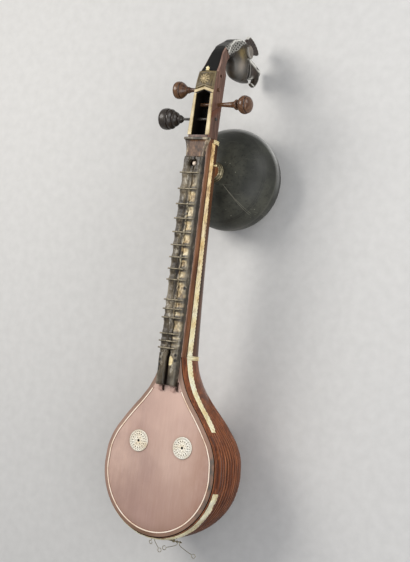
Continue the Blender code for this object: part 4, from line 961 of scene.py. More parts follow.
def make_board():
    ys = down_body(BOARD_TAIL, 0.02, 60, 90)
    shares = [math.sin(a) for a in arc(48, -math.pi / 2, math.pi / 2)]
    x = np.array([board_half(v) * s for v in ys for s in shares])
    y = np.repeat(ys, len(shares))
    away = from_edge(x, y)
    away[np.abs(x) >= np.repeat([board_half(v) for v in ys], len(shares)) - 0.01] = 0.0
    z = -0.9 * unit(1 - away / 1.8) ** 2
    shape = (len(ys), len(shares), 3)
    top = np.stack([x, y, z], axis=1).reshape(shape)
    low = np.stack([x, y, np.full_like(x, -BOARD_THICKNESS)], axis=1).reshape(shape)
    uneven = np.array([rough(a, b, 0, 0.02) for a, b in zip(x, y)])
    at_tail = unit((30 - y) / 60)
    outside = 1 - unit(away - PURFLING_INSET)
    smudge = unit(1 - away / (26 + 14 * at_tail)) ** 1.5
    dirt = np.clip(smudge * (0.18 + 0.55 * at_tail) * (1 + 0.6 * uneven) + 0.55 * outside, 0, 0.95)
    grey = outside * unit((x - 60) / 50) * unit((215 - y) / 50) * unit((y - 10) / 50)
    grey = grey * unit(0.35 + 2.0 * np.array([rough(a, b, 3, 0.06) for a, b in zip(x, y)]))
    shell("soundboard_face", top, low, BOARD, ("soundboard",), "soundboard_wood",
          {"dirt": dirt, "worn": grey})


def ribbon(name, far, near, low, high, material, replaces=(), slot="bowl_wood"):
    """A thin line laid round the soundboard between two distances from its edge."""
    sides = []
    for distance in (far, near):
        side = [(x, y) for x, y in inset(BOARD_LINE, distance) if y < PURFLING_TOP_Y]
        sides.append([(-x, y) for x, y in reversed(side[1:])] + side)
    size = min(len(side) for side in sides)
    pairs = list(zip(*(side[(len(side) - size) // 2:][:size] for side in sides)))

    def rows(level, crown):
        return [[(ax + (bx - ax) * share, ay + (by - ay) * share, level + crown * math.sin(math.pi * share))
                 for (ax, ay), (bx, by) in pairs] for share in (0, 0.5, 1)]

    shell(name, rows(high, 0.15), rows(low, 0), material, replaces, slot)


def make_rosette(name, side):
    """An ivory disc with a turned rim; its engraving is in its material."""
    profile = [(3.0, 0.3), (3.0, 2.0), (3.5, 2.3), (12.2, 2.3), (12.6, 2.05), (13.0, 2.3), (20.4, 2.3),
               (20.8, 2.05), (21.2, 2.3), (25.6, 2.3), (26.4, 2.1), (26.7, 1.6), (26.7, 0.3)]
    turned(name + "_disc", profile, (side * ROSETTE_X, ROSETTE_Y, 0), (0, 0, 1), ROSETTE_IVORY, (name,),
           "ivory", 128, ring=True, smooth=40)


# Neck and its ivory
def strip_front(y):
    return STRIP_FRONT_FOOT + (STRIP_FRONT_HEAD - STRIP_FRONT_FOOT) * step(JOINT_Y, NECK_END_Y, y)


def strip_width(y):
    return STRIP_WIDTH_FOOT + (STRIP_WIDTH_HEAD - STRIP_WIDTH_FOOT) * step(JOINT_Y, NECK_END_Y, y)


def make_neck():
    ys = arc(70, JOINT_Y + GAP, NECK_END_Y)
    rows = [section(y, 96, COVER_THICKNESS + GAP) for y in ys]
    groove, edge = [], []
    for x, y, z in flat(rows):
        front = strip_front(y)
        back = front + strip_width(y)
        by_strip = max(step(front - 6, front - 1, -z) * step(front + 3, front, -z),
                       step(back - 1, back + 1, -z))
        groove.append(min(1.0, 0.5 * hills(x, y * 0.3, z, 0.05) + 0.55 * by_strip))
        # The edge paint is a faint painted highlight along the neck's top, next to the cover.
        edge.append(0.2 * step(7.5, 5.0, -z))
    piece("neck_body", *skin(rows), NECK_WOOD, ("neck",), "bowl_wood", {"groove": groove, "edge": edge})

    half = [0.2, 0.34, 0.4, 0.6, 0.8, 0.9, 0.95, 0.985, 1]
    shares = [-share for share in reversed(half)] + [0] + half
    top, low, paint, dark = [], [], [], []
    for y in ys:
        foot = side_x(y, COVER_THICKNESS)
        row = [(share * NECK_TOP_HALF_WIDTH, y, -1.4 * step(0.93, 1.0, abs(share)) ** 2) for share in shares]
        top.append([(-foot, y, -COVER_THICKNESS)] + row + [(foot, y, -COVER_THICKNESS)])
        low.append([(p[0], y, -COVER_THICKNESS) for p in top[-1]])
        # The edge paint is a painted highlight along the arris at both sides of the cover, and the groove
        # paint is painted shade down its middle, between the wax ridges.
        paint += [0.3] + [0.9 * step(0.9, 0.97, abs(share)) for share in shares] + [0.3]
        dark += [0.0] + [1.0 - step(0.36, 0.5, abs(share)) for share in shares] + [0.0]
    shell("neck_face", top, low, NECK_WOOD, ("neck_cover",), "bowl_wood", {"edge": paint, "groove": dark}, 40)


def scallop(along):
    """How far the rear edge of a strip steps back at a place along it, from a lobe's tip to a notch."""
    return SCALLOP_DEPTH * (1 - abs(math.sin(math.pi * along / SCALLOP_PITCH)) ** 0.6)


def make_side_strip(name, side, start, end):
    outer, inner, along, across = [], [], [], []
    for y in arc(int((end - start) / 1.3), start, end):
        width = strip_width(y) - scallop(y) - 1.2 * hills(0, y, side * 7, 0.11)
        if start < JOINT_Y:
            width *= 1 - 0.5 * step(20, 0, y - start) * (0.6 + rough(y, 2, 1, 0.2))
        out_row, in_row = [], []
        for share in (0, 0.03, 0.08, 0.2, 0.4, 0.6, 0.8, 0.92, 0.97, 1):
            depth = strip_front(y) + width * share
            lift = STRIP_THICKNESS * (1 - 0.45 * max(0.0, 1 - min(share, 1 - share) * width / 1.2))
            out_row.append((side * side_x(y, depth, GAP + lift), y, -depth))
            in_row.append((side * side_x(y, depth, GAP), y, -depth))
            along.append(y)
            across.append(width * share)
        outer.append(out_row)
        inner.append(in_row)
    shell(name + "_inlay", outer, inner, STRIP_IVORY, (name,), "ivory", {"along": along, "across": across})


def at_depth(angle, depth, offset):
    """Point on the bowl's tail at a depth, an angle away from the tail as seen from the bowl's wide place."""
    low, high = 0.0, BOARD_TAIL + 2 * BOWL_BULGE
    for _ in range(30):
        middle = (low + high) / 2
        x, y = middle * math.sin(angle), BOWL_WIDE_Y - middle * math.cos(angle)
        inside = tail_share(y, offset) < 1 and side_x(y, depth, offset) > abs(x)
        low, high = (middle, high) if inside else (low, middle)
    return (low * math.sin(angle), BOWL_WIDE_Y - low * math.cos(angle), -depth)


def make_tail_strip():
    outer, inner, along, across, stain = [], [], [], [], []
    for angle in arc(260, -TAIL_STRIP_REACH, TAIL_STRIP_REACH):
        place = angle * (BOARD_HALF_WIDTH + BOWL_BULGE)
        # The strip is worn away in places, most of all near its ends.
        broken = hills(place * 0.05, 3.3, 0) * 9 * step(0.2, 0.9, abs(angle) / TAIL_STRIP_REACH)
        width = TAIL_STRIP_WIDTH - scallop(place) - broken
        out_row, in_row = [], []
        for share in (0, 0.05, 0.2, 0.4, 0.6, 0.8, 0.93, 1):
            depth = TAIL_STRIP_FRONT + width * share
            out_row.append(at_depth(angle, depth, GAP + STRIP_THICKNESS * (0.6 if share in (0, 1) else 1.0)))
            in_row.append(at_depth(angle, depth, GAP))
            along.append(place)
            across.append(width * share)
            stain.append(0.55 * max(0.0, 0.3 + rough(place * 0.03, share, 1.7)))
        outer.append(out_row)
        inner.append(in_row)
    shell("tail_strip_inlay", outer, inner, STRIP_IVORY, ("tail_strip",), "ivory",
          {"along": along, "across": across, "dirt": stain})


def make_band(name, start):
    """An ivory band round the neck's back, with a bead along each edge."""
    reach = math.radians(9)
    half = ((0, 0.45), (0.04, 0.9), (0.12, 1.0), (0.2, 0.9), (0.25, 0.6), (0.36, 0.72))
    profile = half + ((0.5, 0.8),) + tuple((1 - place, height) for place, height in reversed(half))
    angles = arc(150, reach, -math.pi - reach)
    outer = [[girth(start + BAND_WIDTH * s, GAP + BAND_THICKNESS * h)(angle) for s, h in profile]
             for angle in angles]
    inner = [[girth(start + BAND_WIDTH * s, GAP)(angle) for s, h in profile] for angle in angles]
    groove = [0.8 if abs(h - 0.6) < 0.01 else 0.0 for s, h in profile] * len(angles)
    shell(name + "_trim", outer, inner, IVORY, (name,), "ivory", {"groove": groove})


# Wax ridges and frets
def fret_y(number):
    return BRIDGE_Y + SCALE_LENGTH * 2 ** (-number / 12)


FRET_YS = [fret_y(number) for number in FRETS]


def from_fret(y):
    return min(abs(y - place) for place in FRET_YS)


def make_ridge(name, side):
    count = 30
    rows, worn, groove, shine = [], [], [], []
    for y in arc(330, RIDGE_FOOT_Y, NUT_Y):
        sag = step(3, 13, from_fret(y) if y >= FRET_YS[-1] - 12 else 6)
        end = 1 - math.sqrt(max(0.0, 1 - max(0.0, 1 - min(y - RIDGE_FOOT_Y, NUT_Y - y) / 4.0) ** 2))
        inner = RIDGE_INNER_X + 0.8 * sag + 0.8 * rough(1.1, y, side * 3, 0.06)
        inner = max(inner, math.sqrt(max(0.0, WELL_RADIUS ** 2 - (y - BOLT_Y) ** 2)))
        outer = RIDGE_OUTER_X - 0.9 * sag + 0.3 * rough(5.1, y, side * 3, 0.05)
        top = RIDGE_HEIGHT - 0.2 - RIDGE_SAG * sag - 4 * end
        middle_up = (step(RIDGE_FOOT_Y + 80, WEAR_FOOT_Y, y) * step(WEAR_TOP_Y + 52, WEAR_TOP_Y, y)
                     * (0.6 + 0.4 * step(520, 640, y)))
        row = []
        for angle in arc(count, math.pi, 0):
            up = max(0.0, math.sin(angle)) ** 0.62
            x = (inner + outer) / 2 + (outer - inner) / 2 * signed(math.cos(angle), 0.62)
            lump = 0.9 * rough(x * 1.6, y * 0.8, up * 20, 0.09) + 0.6 * rough(x * 3, y * 1.4, side * 9, 0.2)
            x = clamp(x + lump * 0.4, inner, RIDGE_OUTER_X)
            row.append((side * x, y, clamp(GAP + (top - GAP) * up + lump * up, GAP, RIDGE_HEIGHT)))
            share = (x - RIDGE_INNER_X) / (RIDGE_OUTER_X - RIDGE_INNER_X)
            patch = 0.5 * rough(share * 1.4, y * 0.045, 4.2) + 0.6 * rough(x * 1.5, y, 2.0, 0.22)
            if side > 0:
                reach = 0.82 + 0.25 * step(590, 540, y)
                spread = step(reach, reach - 0.22, share) * step(0.0, 0.1, share) * step(0.1, 0.6, sag)
                worn.append(min(1.0, max(0.0, (patch + 0.6) * 1.7) * spread * middle_up * step(0.4, 0.7, up)))
            else:
                worn.append(max(0.0, patch) * step(0.35, 0.1, abs(share - 0.3)) * 0.35 * middle_up)
            # The edge paint (shine) is a painted highlight along each ridge's crest. The groove paint is
            # painted shade on the lower flanks, on the inner side that faces the other ridge and on the right
            # ridge's outer side, and in the holes, which are only painted; it also darkens hollows between
            # lumps and the tops near the nut.
            crest = step(0.3, 0.1, abs(share - (0.9 if side < 0 else 0.75))) * step(0.5, 0.9, up)
            shine.append(0.55 * crest * (0.5 + 0.5 * rough(x, y * 0.5, 7, 0.12)))
            away = min(math.hypot(side * x - hx, (y - hy) * 0.7)
                       for hx, hy in (RIGHT_HOLES if side > 0 else LEFT_HOLES))
            hole = step(3.8, 2.2, away) if up > 0.6 else 0
            inside = step(0.14, 0.04, share) if side > 0 else step(0.1, 0.02, share)
            low = max(step(0.35, 0.0, up) * 0.6, inside * step(1.0, 0.8, up),
                      0.5 * step(0.86, 0.97, share) * (side > 0))
            groove.append(min(1.0, hole + low + 0.6 * max(0.0, -lump) + 0.45 * step(DARK_TOP_Y, DARK_TOP_Y + 38, y)))
        rows.append(row)
    piece(name + "_wax", *skin(rows, under=True), WAX, (name,), "fret_wax",
          {"worn": worn, "groove": groove, "edge": shine}, 60)


def make_wax_bed(name, start, end):
    """The wax between the two ridges, a little lower than they are."""
    xs = arc(10, -WAX_BED_HALF, WAX_BED_HALF)
    rows_top, rows_low, worn, groove = [], [], [], []
    for y in arc(max(6, int((end - start) / 1.6)), start, end):
        level = RIDGE_HEIGHT - WAX_BED_DROP - 2.2 * step(3, 13, from_fret(y))
        rows_top.append([(x, y, level + 0.05 * x * x + 0.9 * rough(x * 2, y * 0.8, 4, 0.12)) for x in xs])
        rows_low.append([(x, y, GAP) for x in xs])
        for x in xs:
            patch = clamp((rough(x * 1.5, y, 2.0, 0.22) + 0.35) * 1.6)
            worn.append(patch * step(-2.5, 1.5, x) * step(WEAR_FOOT_Y, WEAR_FOOT_Y + 100, y)
                        * step(WEAR_TOP_Y + 52, WEAR_TOP_Y, y))
            # Painted shade darkens the whole bed, which lies lower between the ridges; hills and the part
            # near the nut are darker still.
            dark_top = 0.3 * step(DARK_TOP_Y, DARK_TOP_Y + 38, y)
            groove.append(min(1.0, 0.35 + 0.7 * hills(x, y * 0.7, 9, 0.08) + dark_top))
    shell(name, rows_top, rows_low, WAX, (), "fret_wax", {"worn": worn, "groove": groove}, 60)


def make_gold_patch():
    """A chip of gilding that is left on the right ridge, below the frets."""
    middle, half = (RIDGE_INNER_X + RIDGE_OUTER_X) / 2, (RIDGE_OUTER_X - RIDGE_INNER_X) / 2
    rows_top, rows_low = [], []
    for v in arc(8, -1, 1):
        top = []
        for u in arc(8, -1, 1):
            radius = 1 + 0.18 * rough(u * 2, v * 2, 5)
            x = 10.8 + 7 * u * math.sqrt(max(0.0, 1 - v * v / 2)) * radius
            y = 390 + 11.5 * v * math.sqrt(max(0.0, 1 - u * u / 2)) * radius
            crown = max(0.05, 1 - abs((x - middle) / half) ** 3.2) ** (1 / 3.2)
            top.append((x, y, GAP + (RIDGE_HEIGHT - GAP - 1.4) * crown + 1.3))
        rows_top.append(top)
        rows_low.append([(x, y, z - 2.8) for x, y, z in top])
    shell("gilt_chip", rows_top, rows_low, CREAM_GILT, (), "gilt", None, 60)


def make_stub(name, side):
    """The pinkish wooden block that a ridge stands against."""
    rows = [[(side * STUB_X + STUB_HALF * r * signed(math.cos(a), 0.4), STUB_Y + s * STUB_LENGTH,
              GAP + STUB_HEIGHT * r * max(0.0, math.sin(a)) ** 0.4) for a in arc(28, 0, math.pi)]
            for s, r in ((0, 0.86), (0.06, 0.96), (0.15, 1.0), (1, 1.0))]
    piece(name + "_block", *skin(rows, under=True), STUB_WOOD, (name,), "soundboard_wood", None, 40)


def make_shadow_slat(name, x, start, end, width, height):
    """A thin dark slat on the soundboard beside a ridge, standing in as a painted shadow."""
    outer, inner = [], []
    for y in arc(24, start, end):
        middle = x + 0.25 * rough(x, y, 0, 0.08)
        taper = step(0, 6, y - start) * 0.4 + 0.6
        outer.append([(middle + width * s, y, GAP + height * taper * h)
                      for s, h in ((-0.5, 0), (-0.5, 0.8), (-0.3, 1), (0.3, 1), (0.5, 0.8), (0.5, 0))])
        inner.append([(p[0], y, GAP) for p in outer[-1]])
    shell(name, outer, inner, DARK, (), "bowl_wood", None, 40)


def make_fret(number):
    """A slightly arched bar with rounded ends."""
    half, width, height, foot = 28.5, 1.9, 4.6, RIDGE_HEIGHT + GAP
    rows = []
    for s in arc(40, -1, 1):
        round_off = math.sqrt(max(0.02, 1 - max(0.0, (abs(s) - 0.95) / 0.05) ** 2))
        row = []
        for a in turns(20):
            across = signed(math.cos(a), 0.8) * width * round_off
            up = signed(math.sin(a), 0.8) * height / 2 * round_off
            z = foot + height / 2 + up - 0.35 * s * s * (up > 0)
            row.append((s * half, fret_y(number) + across * 0.97, z))
        rows.append(row)
    # Painted shade on the lower half of the bar.
    groove = [0.6 * step(0.0, -1.6, p[2] - foot - height / 2) for p in flat(rows)]
    name = "fret_%02d" % number
    piece(name + "_bar", *skin(rows, closed=True), FRET_METAL, (name,), "fret_metal", {"groove": groove})


def make_nut_panel():
    foot_half, flare, thickness, lip_height = 26.5, 9.5, 8, 4
    start = NUT_Y + GAP
    spread = smooth_through([(0, 0), (0.3, 0.05), (0.62, 0.35), (0.84, 0.8), (0.9, 1), (0.97, 1), (1, 0.93)])
    lip = smooth_through([(0, 0), (0.83, 0), (0.89, 1), (0.96, 1), (1, 0.35)])
    half = [0.25, 0.5, 0.72, 0.8, 0.9, 0.97, 1, 1]
    shares = [-share for share in reversed(half)] + [0] + half
    outer, inner, edge, groove = [], [], [], []
    for s in arc(70, 0, 1):
        y = start + s * (NECK_END_Y - start)
        width = foot_half + spread(s) * flare
        row = []
        for i, share in enumerate(shares):
            z = GAP + 0.1
            if 0 < i < len(shares) - 1:
                dip = 0.7 * (1 - step(0.7, 0.8, abs(share))) * step(0.02, 0.1, s) * (1 - step(0.76, 0.84, s))
                z = thickness + lip_height * lip(s) - dip - 1.6 * step(0.9, 1.0, abs(share)) ** 2
                z += 0.12 * rough(share * 20, s * 40, 3, 0.3)
            row.append((share * width, y, z))
            wear = 0.5 + 0.5 * rough(share * 3, s * 9, 1)
            edge.append(min(1.0, max(step(0.74, 0.82, abs(share)) * 0.9 * (0.55 + 0.5 * wear), lip(s) * 1.2)))
            groove.append(0.9 * step(0.05, 0.0, abs(abs(share) - 0.73) - 0.01) * (1 - lip(s)) * wear)
        outer.append(row)
        inner.append([(p[0], y, GAP) for p in row])
    shell("nut_panel_plate", outer, inner, PANEL, ("nut_panel",), "ivory", {"edge": edge, "groove": groove})


# Pegbox
def make_cover():
    """The domed block over the pegbox's top, with a raised border and a chevron foot."""
    foot = SLOT_END + ARCH_WIDTH + 1 + 3 * GAP
    dome_height, border_width = 9, 0.17
    outer, inner, edge, groove = [], [], [], []
    for s in arc(44, -1, 1):
        out_row, in_row = [], []
        for t in arc(34, 0, 1):
            start = foot + (1 - abs(s)) * SLOT_POINT
            along = start + t * (PEGBOX_LENGTH - start)
            x, y, z = s * (pegbox_half(along) - 1), NECK_END_Y + along, pegbox_front(along) + GAP
            swell = math.sqrt(max(0.0, 1 - 0.85 * s * s)) * (0.75 + 0.25 * math.sin(math.pi * t))
            rim = min(1 - abs(s), t * 1.2, (1 - t) * 1.2)
            border = step(0.0, 0.03, rim) * step(border_width, 0.13, rim)
            height = dome_height * swell - 0.6 * (1 - border) - 1.6 * step(0.03, 0, rim)
            out_row.append((x, y, z + max(0.4, height)))
            in_row.append((x, y, z))
            edge.append(0.75 * border * (0.6 + 0.5 * rough(s * 6, t * 6, 2)))
            groove.append(0.8 * step(0.04, 0.0, abs(rim - border_width)) + 0.25 * hills(s * 9, t * 9, 5))
        outer.append(out_row)
        inner.append(in_row)
    shell("pegbox_cover_dome", outer, inner, COVER_WOOD, ("pegbox_cover",), "carved_head",
          {"edge": edge, "groove": groove})

    along = (SLOT_END + SLOT_POINT + PEGBOX_LENGTH) / 2 + 2
    size, count, petal_pairs = 14, 120, 5

    def ring_point(radius, angle, height):
        y = NECK_END_Y + along + radius * math.sin(angle)
        return (radius * math.cos(angle), y, pegbox_front(along) + height)

    rows = [[ring_point(size, angle, 3) for angle in turns(count)]]
    groove, edge = [0.6] * count, [0.0] * count
    for t in arc(26, 0, 1):
        petals = step(0.08, 0.22, t) * step(0.78, 0.6, t)
        dome = 7.2 + 7 * math.sin(t * math.pi / 2) - 0.5 * (1 - petals) * (t < 0.8) + 0.8 * step(0.86, 0.9, t)
        radius = size * math.cos(t * math.pi / 2) ** 0.75
        leaves = [abs(math.cos(petal_pairs * angle)) for angle in turns(count)]
        rows.append([ring_point(radius, angle, dome - petals * (1 - leaf ** 0.5) * 1.1)
                     for angle, leaf in zip(turns(count), leaves)])
        groove += [min(1.0, petals * (1 - leaf ** 0.35) * 1.4) for leaf in leaves]
        edge += [0.6 * petals * leaf ** 6 + 0.6 * (t > 0.88) for leaf in leaves]
    piece("cover_boss_flower", *skin(rows, closed=True), GILT, ("cover_boss",), "gilt",
          {"groove": groove, "edge": edge}, 60)

    bud = rounded_profile([(3.6, 0.3, True), (4.8, 1.2), (4.2, 2.6), (2.8, 3.6), (4.4, 5.2), (4.9, 7.0),
                           (3.6, 9.2), (1.6, 10.8), (0.9, 12.0, True)], 8)
    turned("cover_knob_bud", bud, (0, HEAD_Y, PEGBOX_TOP_Z + 5 + GAP), (0, 1, 0), IVORY, ("cover_knob",),
           "ivory", 48)


# Scroll and head; a rib is its front, its back and its half width
def rib(front, back, half, squareness, count):
    """Ring across a carved block; front and back are (y, z), and the ring spreads to both sides."""
    ring = []
    for angle in turns(count):
        power = 2 / squareness if math.sin(angle) < 0 else 2 / 9
        share = (1 + signed(math.sin(angle), power)) / 2
        ring.append((half * signed(math.cos(angle), power), back[0] + share * (front[0] - back[0]),
                     back[1] + share * (front[1] - back[1])))
    return ring


def from_end(*rows):
    """Ribs measured from the front edge of the pegbox's end, in the instrument's frame."""
    return [((HEAD_Y + fy, PEGBOX_TOP_Z + fz), (HEAD_Y + by, PEGBOX_TOP_Z + bz), half)
            for fy, fz, by, bz, half in rows]


def dense(ribs, steps):
    """More ribs, smoothly between the given ones."""
    line = smooth_line([Vector((*front, *back, half)) for front, back, half in ribs], steps)
    return [((v[0], v[1]), (v[2], v[3]), v[4]) for v in line]


SCROLL_RIBS = from_end((20, -12, 10, -54, 23.5), (40, -21, 24, -58, 20.5), (60, -31, 40, -66, 17.5),
                       (78, -47, 54, -78, 16.5), (96, -76, 60, -90, 16))
SLEEVE_RIBS = from_end((73, -40, 49, -73, 18.2), (81, -48, 53, -80, 18.0), (98, -75, 58, -92, 17.2),
                       (102, -84, 60, -93, 16))
SKULL_RIBS = from_end((86, -66, 60, -72, 11), (101, -78, 60, -82, 14), (108, -90, 52, -93, 16.5),
                      (112, -101, 36, -100, 18.5), (114, -112, 22, -107, 20.5), (115, -124, 13, -120, 21.5),
                      (111, -146, 11, -144, 21), (93, -163, 13, -164, 18.5), (80, -174, 18, -176, 14))
SNOUT_RIBS = from_end((86, -160, 24, -164, 17), (82, -180, 27, -184, 14), (78, -204, 31, -204, 12),
                      (73, -226, 38, -226, 10.5), (68, -243, 42, -240, 9), (66, -253, 52, -251, 6))
JAW_RIBS = from_end((34, -150, 12, -150, 16), (28, -170, 13, -170, 13), (26, -184, 16, -185, 10),
                    (25, -193, 19, -194, 6))
LIP_RIBS = from_end((52, -222, 52, -247, 9), (42, -224, 40, -247, 8.5), (33, -223, 28, -241, 7.5),
                    (27, -219, 17, -231, 6.5), (25, -212, 16, -219, 5), (23, -207, 18, -211, 3))
CREST = ((90, -146), (116, -154), (133, -168), (141, -177), (139, -190), (132, -208), (122, -224),
         (110, -235), (103, -230), (99, -212), (88, -192), (74, -186))
EAR = ((75, -163), (79, -150), (90, -141), (101, -140), (109, -146), (107, -158), (98, -168), (85, -170))
MANE_TOP = ((66, -58), (86, -65), (103, -87), (112, -111), (115, -137))
MANE_LOW = ((110, -138), (97, -115), (80, -101), (62, -71), (52, -56))


def loft(ribs, steps, count):
    return skin([rib(*one, 2.6, count) for one in dense(ribs, steps)], closed=True)


def plate(outline, low, high):
    """A flat form of the head pushed from low to high in x, with its edge rounded."""
    middle = [sum(values) / len(outline) for values in zip(*outline)]
    line = smooth_line([Vector((*p, 0)) for p in outline], 6, closed=True)
    rows = [[(low + (high - low) * share, HEAD_Y + middle[0] + (p[0] - middle[0]) * grow,
              PEGBOX_TOP_Z + middle[1] + (p[1] - middle[1]) * grow) for p in line]
            for share, grow in ((0, 0.9), (0.12, 0.97), (0.3, 1), (0.7, 1), (0.88, 0.97), (1, 0.9))]
    return skin(rows, closed=True)


def block(name, verts, faces):
    """A bare closed mesh in world metres, to cut or join others with."""
    return placed(name, solid(name, world(verts), faces)[0])


def settled(item, helpers=()):
    """Points in millimetres and faces of an object after its modifiers; it and its helpers then go."""
    bpy.context.view_layer.update()
    shaped = item.evaluated_get(bpy.context.evaluated_depsgraph_get())
    mesh = bpy.data.meshes.new_from_object(shaped)
    points = np.empty(len(mesh.vertices) * 3)
    mesh.vertices.foreach_get("co", points)
    faces = [tuple(face.vertices) for face in mesh.polygons]
    for gone in (item, *helpers):
        bpy.data.objects.remove(gone, do_unlink=True)
    bpy.data.meshes.remove(mesh)
    return instrument(points.reshape(-1, 3)), faces


def rib_places(points, ribs):
    """For each point: its nearest rib, how far towards that rib's front it lies, and how far across."""
    front, back, half = (np.array([r[i] for r in ribs]) for i in range(3))
    way = front - back
    rel = points[:, None, 1:3] - back[None]
    share = (rel * way[None]).sum(axis=2) / (way ** 2).sum(axis=1)[None]
    gap = np.sqrt(((rel - share[:, :, None] * way[None]) ** 2).sum(axis=2))
    best = gap.argmin(axis=1)
    return best, share[np.arange(len(points)), best], np.abs(points[:, 0]) / half[best]


def make_upper_block():
    """The pegbox above its slanted joint and the scroll, one block that is cut for the slot and pegs."""
    ribs = []
    for along in arc(14, 33, PEGBOX_LENGTH):
        depth = PEGBOX_FOOT_DEPTH + along / PEGBOX_LENGTH * (PEGBOX_TOP_DEPTH - PEGBOX_FOOT_DEPTH)
        y = NECK_END_Y + along
        ribs.append(((y, pegbox_front(along)), (y, -depth), pegbox_half(along)))
    scroll = dense(ribs[-2:] + SCROLL_RIBS, 10)[10:]
    rings = [rib(*one, 5.0, 96) for one in ribs[:-1]]
    rings += [rib(*one, 5.0 - 2.4 * step(0, 14, i), 96) for i, one in enumerate(scroll)]
    body = block("upper_block", *skin(rings, closed=True))

    size = 500.0
    slope, rise = math.cos(SCARF_SLOPE), math.sin(SCARF_SLOPE)
    scarf = [[(x, NECK_END_Y + SCARF_FRONT + slope * a - rise * b, rise * a + slope * b)
              for a, b in ((-size, -size), (GAP, -size), (GAP, size), (-size, size))] for x in (-size, size)]
    cutters = [block("scarf", *skin(scarf, closed=True))]
    foot, top = NECK_END_Y + SLOT_START, NECK_END_Y + SLOT_END
    slot = [[(-SLOT_HALF, foot, z), (SLOT_HALF, foot, z), (SLOT_HALF, top, z), (0, top + SLOT_POINT, z),
             (-SLOT_HALF, top, z)] for z in (-SLOT_DEPTH, SLOT_DEPTH)]
    cutters.append(block("slot", *skin(slot, closed=True)))
    for (along, depth), radius, start in ((RIGHT_PEG, BORE, -70), (UPPER_LEFT_PEG, BORE, -70),
                                          (EMPTY_HOLE, EMPTY_BORE, 13)):
        y = NECK_END_Y + along
        hole = [[(x, y + radius * math.cos(a), -depth + radius * math.sin(a)) for a in turns(32)]
                for x in (start, 70)]
        cutters.append(block("bore", *skin(hole, closed=True)))
    for cutter in cutters:
        cutting = body.modifiers.new("cut", "BOOLEAN")
        cutting.operation = "DIFFERENCE"
        cutting.solver = "EXACT"
        cutting.object = cutter
    points, faces = settled(body, cutters)
    best, share, across = rib_places(points, scroll)
    on_scroll = (points[:, 1] > HEAD_Y + 1) & (points[:, 2] < -6)
    front = on_scroll & (share > 0.96) & (across < 0.86)
    edge = np.where(on_scroll & (share > 0.9) & (across >= 0.86), 0.65, 0.0)
    head_end = unit((best - len(scroll) * 0.7) / (len(scroll) * 0.3)) * on_scroll
    uneven = np.array([rough(*p, 0.04) for p in points])
    paints = {"black": front * 1.0, "edge": edge * (0.7 + 0.4 * uneven),
              "groove": 0.35 * head_end + 0.2 * np.maximum(0, uneven)}
    piece("upper_pegbox", points, faces, BOX_WOOD, ("head",), "carved_head", paints, 35)


def scales(y, z, size):
    """Fish scales over a side: 0 in the line between two scales, 1 on a scale's crown."""
    row = np.floor(z / size)
    best = np.zeros_like(y)
    for at in (row, row + 1):
        shift = np.where(np.mod(at, 2) > 0.5, 0.5, 0.0)
        column = np.round(y / size - shift) + shift
        away = np.hypot((y - column * size) / size, (z - at * size) / size / 1.05)
        best = np.maximum(best, unit((0.52 - away) / 0.2))
    return best


def gauss(y, z, cy, cz, ry, rz):
    return np.exp(-((y - cy) / ry) ** 2 - ((z - cz) / rz) ** 2)


def near_line(y, z, line, width):
    """1 on a bent line given by its (y, z) points, falling to 0 at a width from it."""
    best = np.full(len(y), 1e9)
    for (ay, az), (by, bz) in zip(line, line[1:]):
        wy, wz = by - ay, bz - az
        t = unit(((y - ay) * wy + (z - az) * wz) / (wy * wy + wz * wz))
        best = np.minimum(best, np.hypot(y - ay - t * wy, z - az - t * wz))
    return unit(1 - best / width)


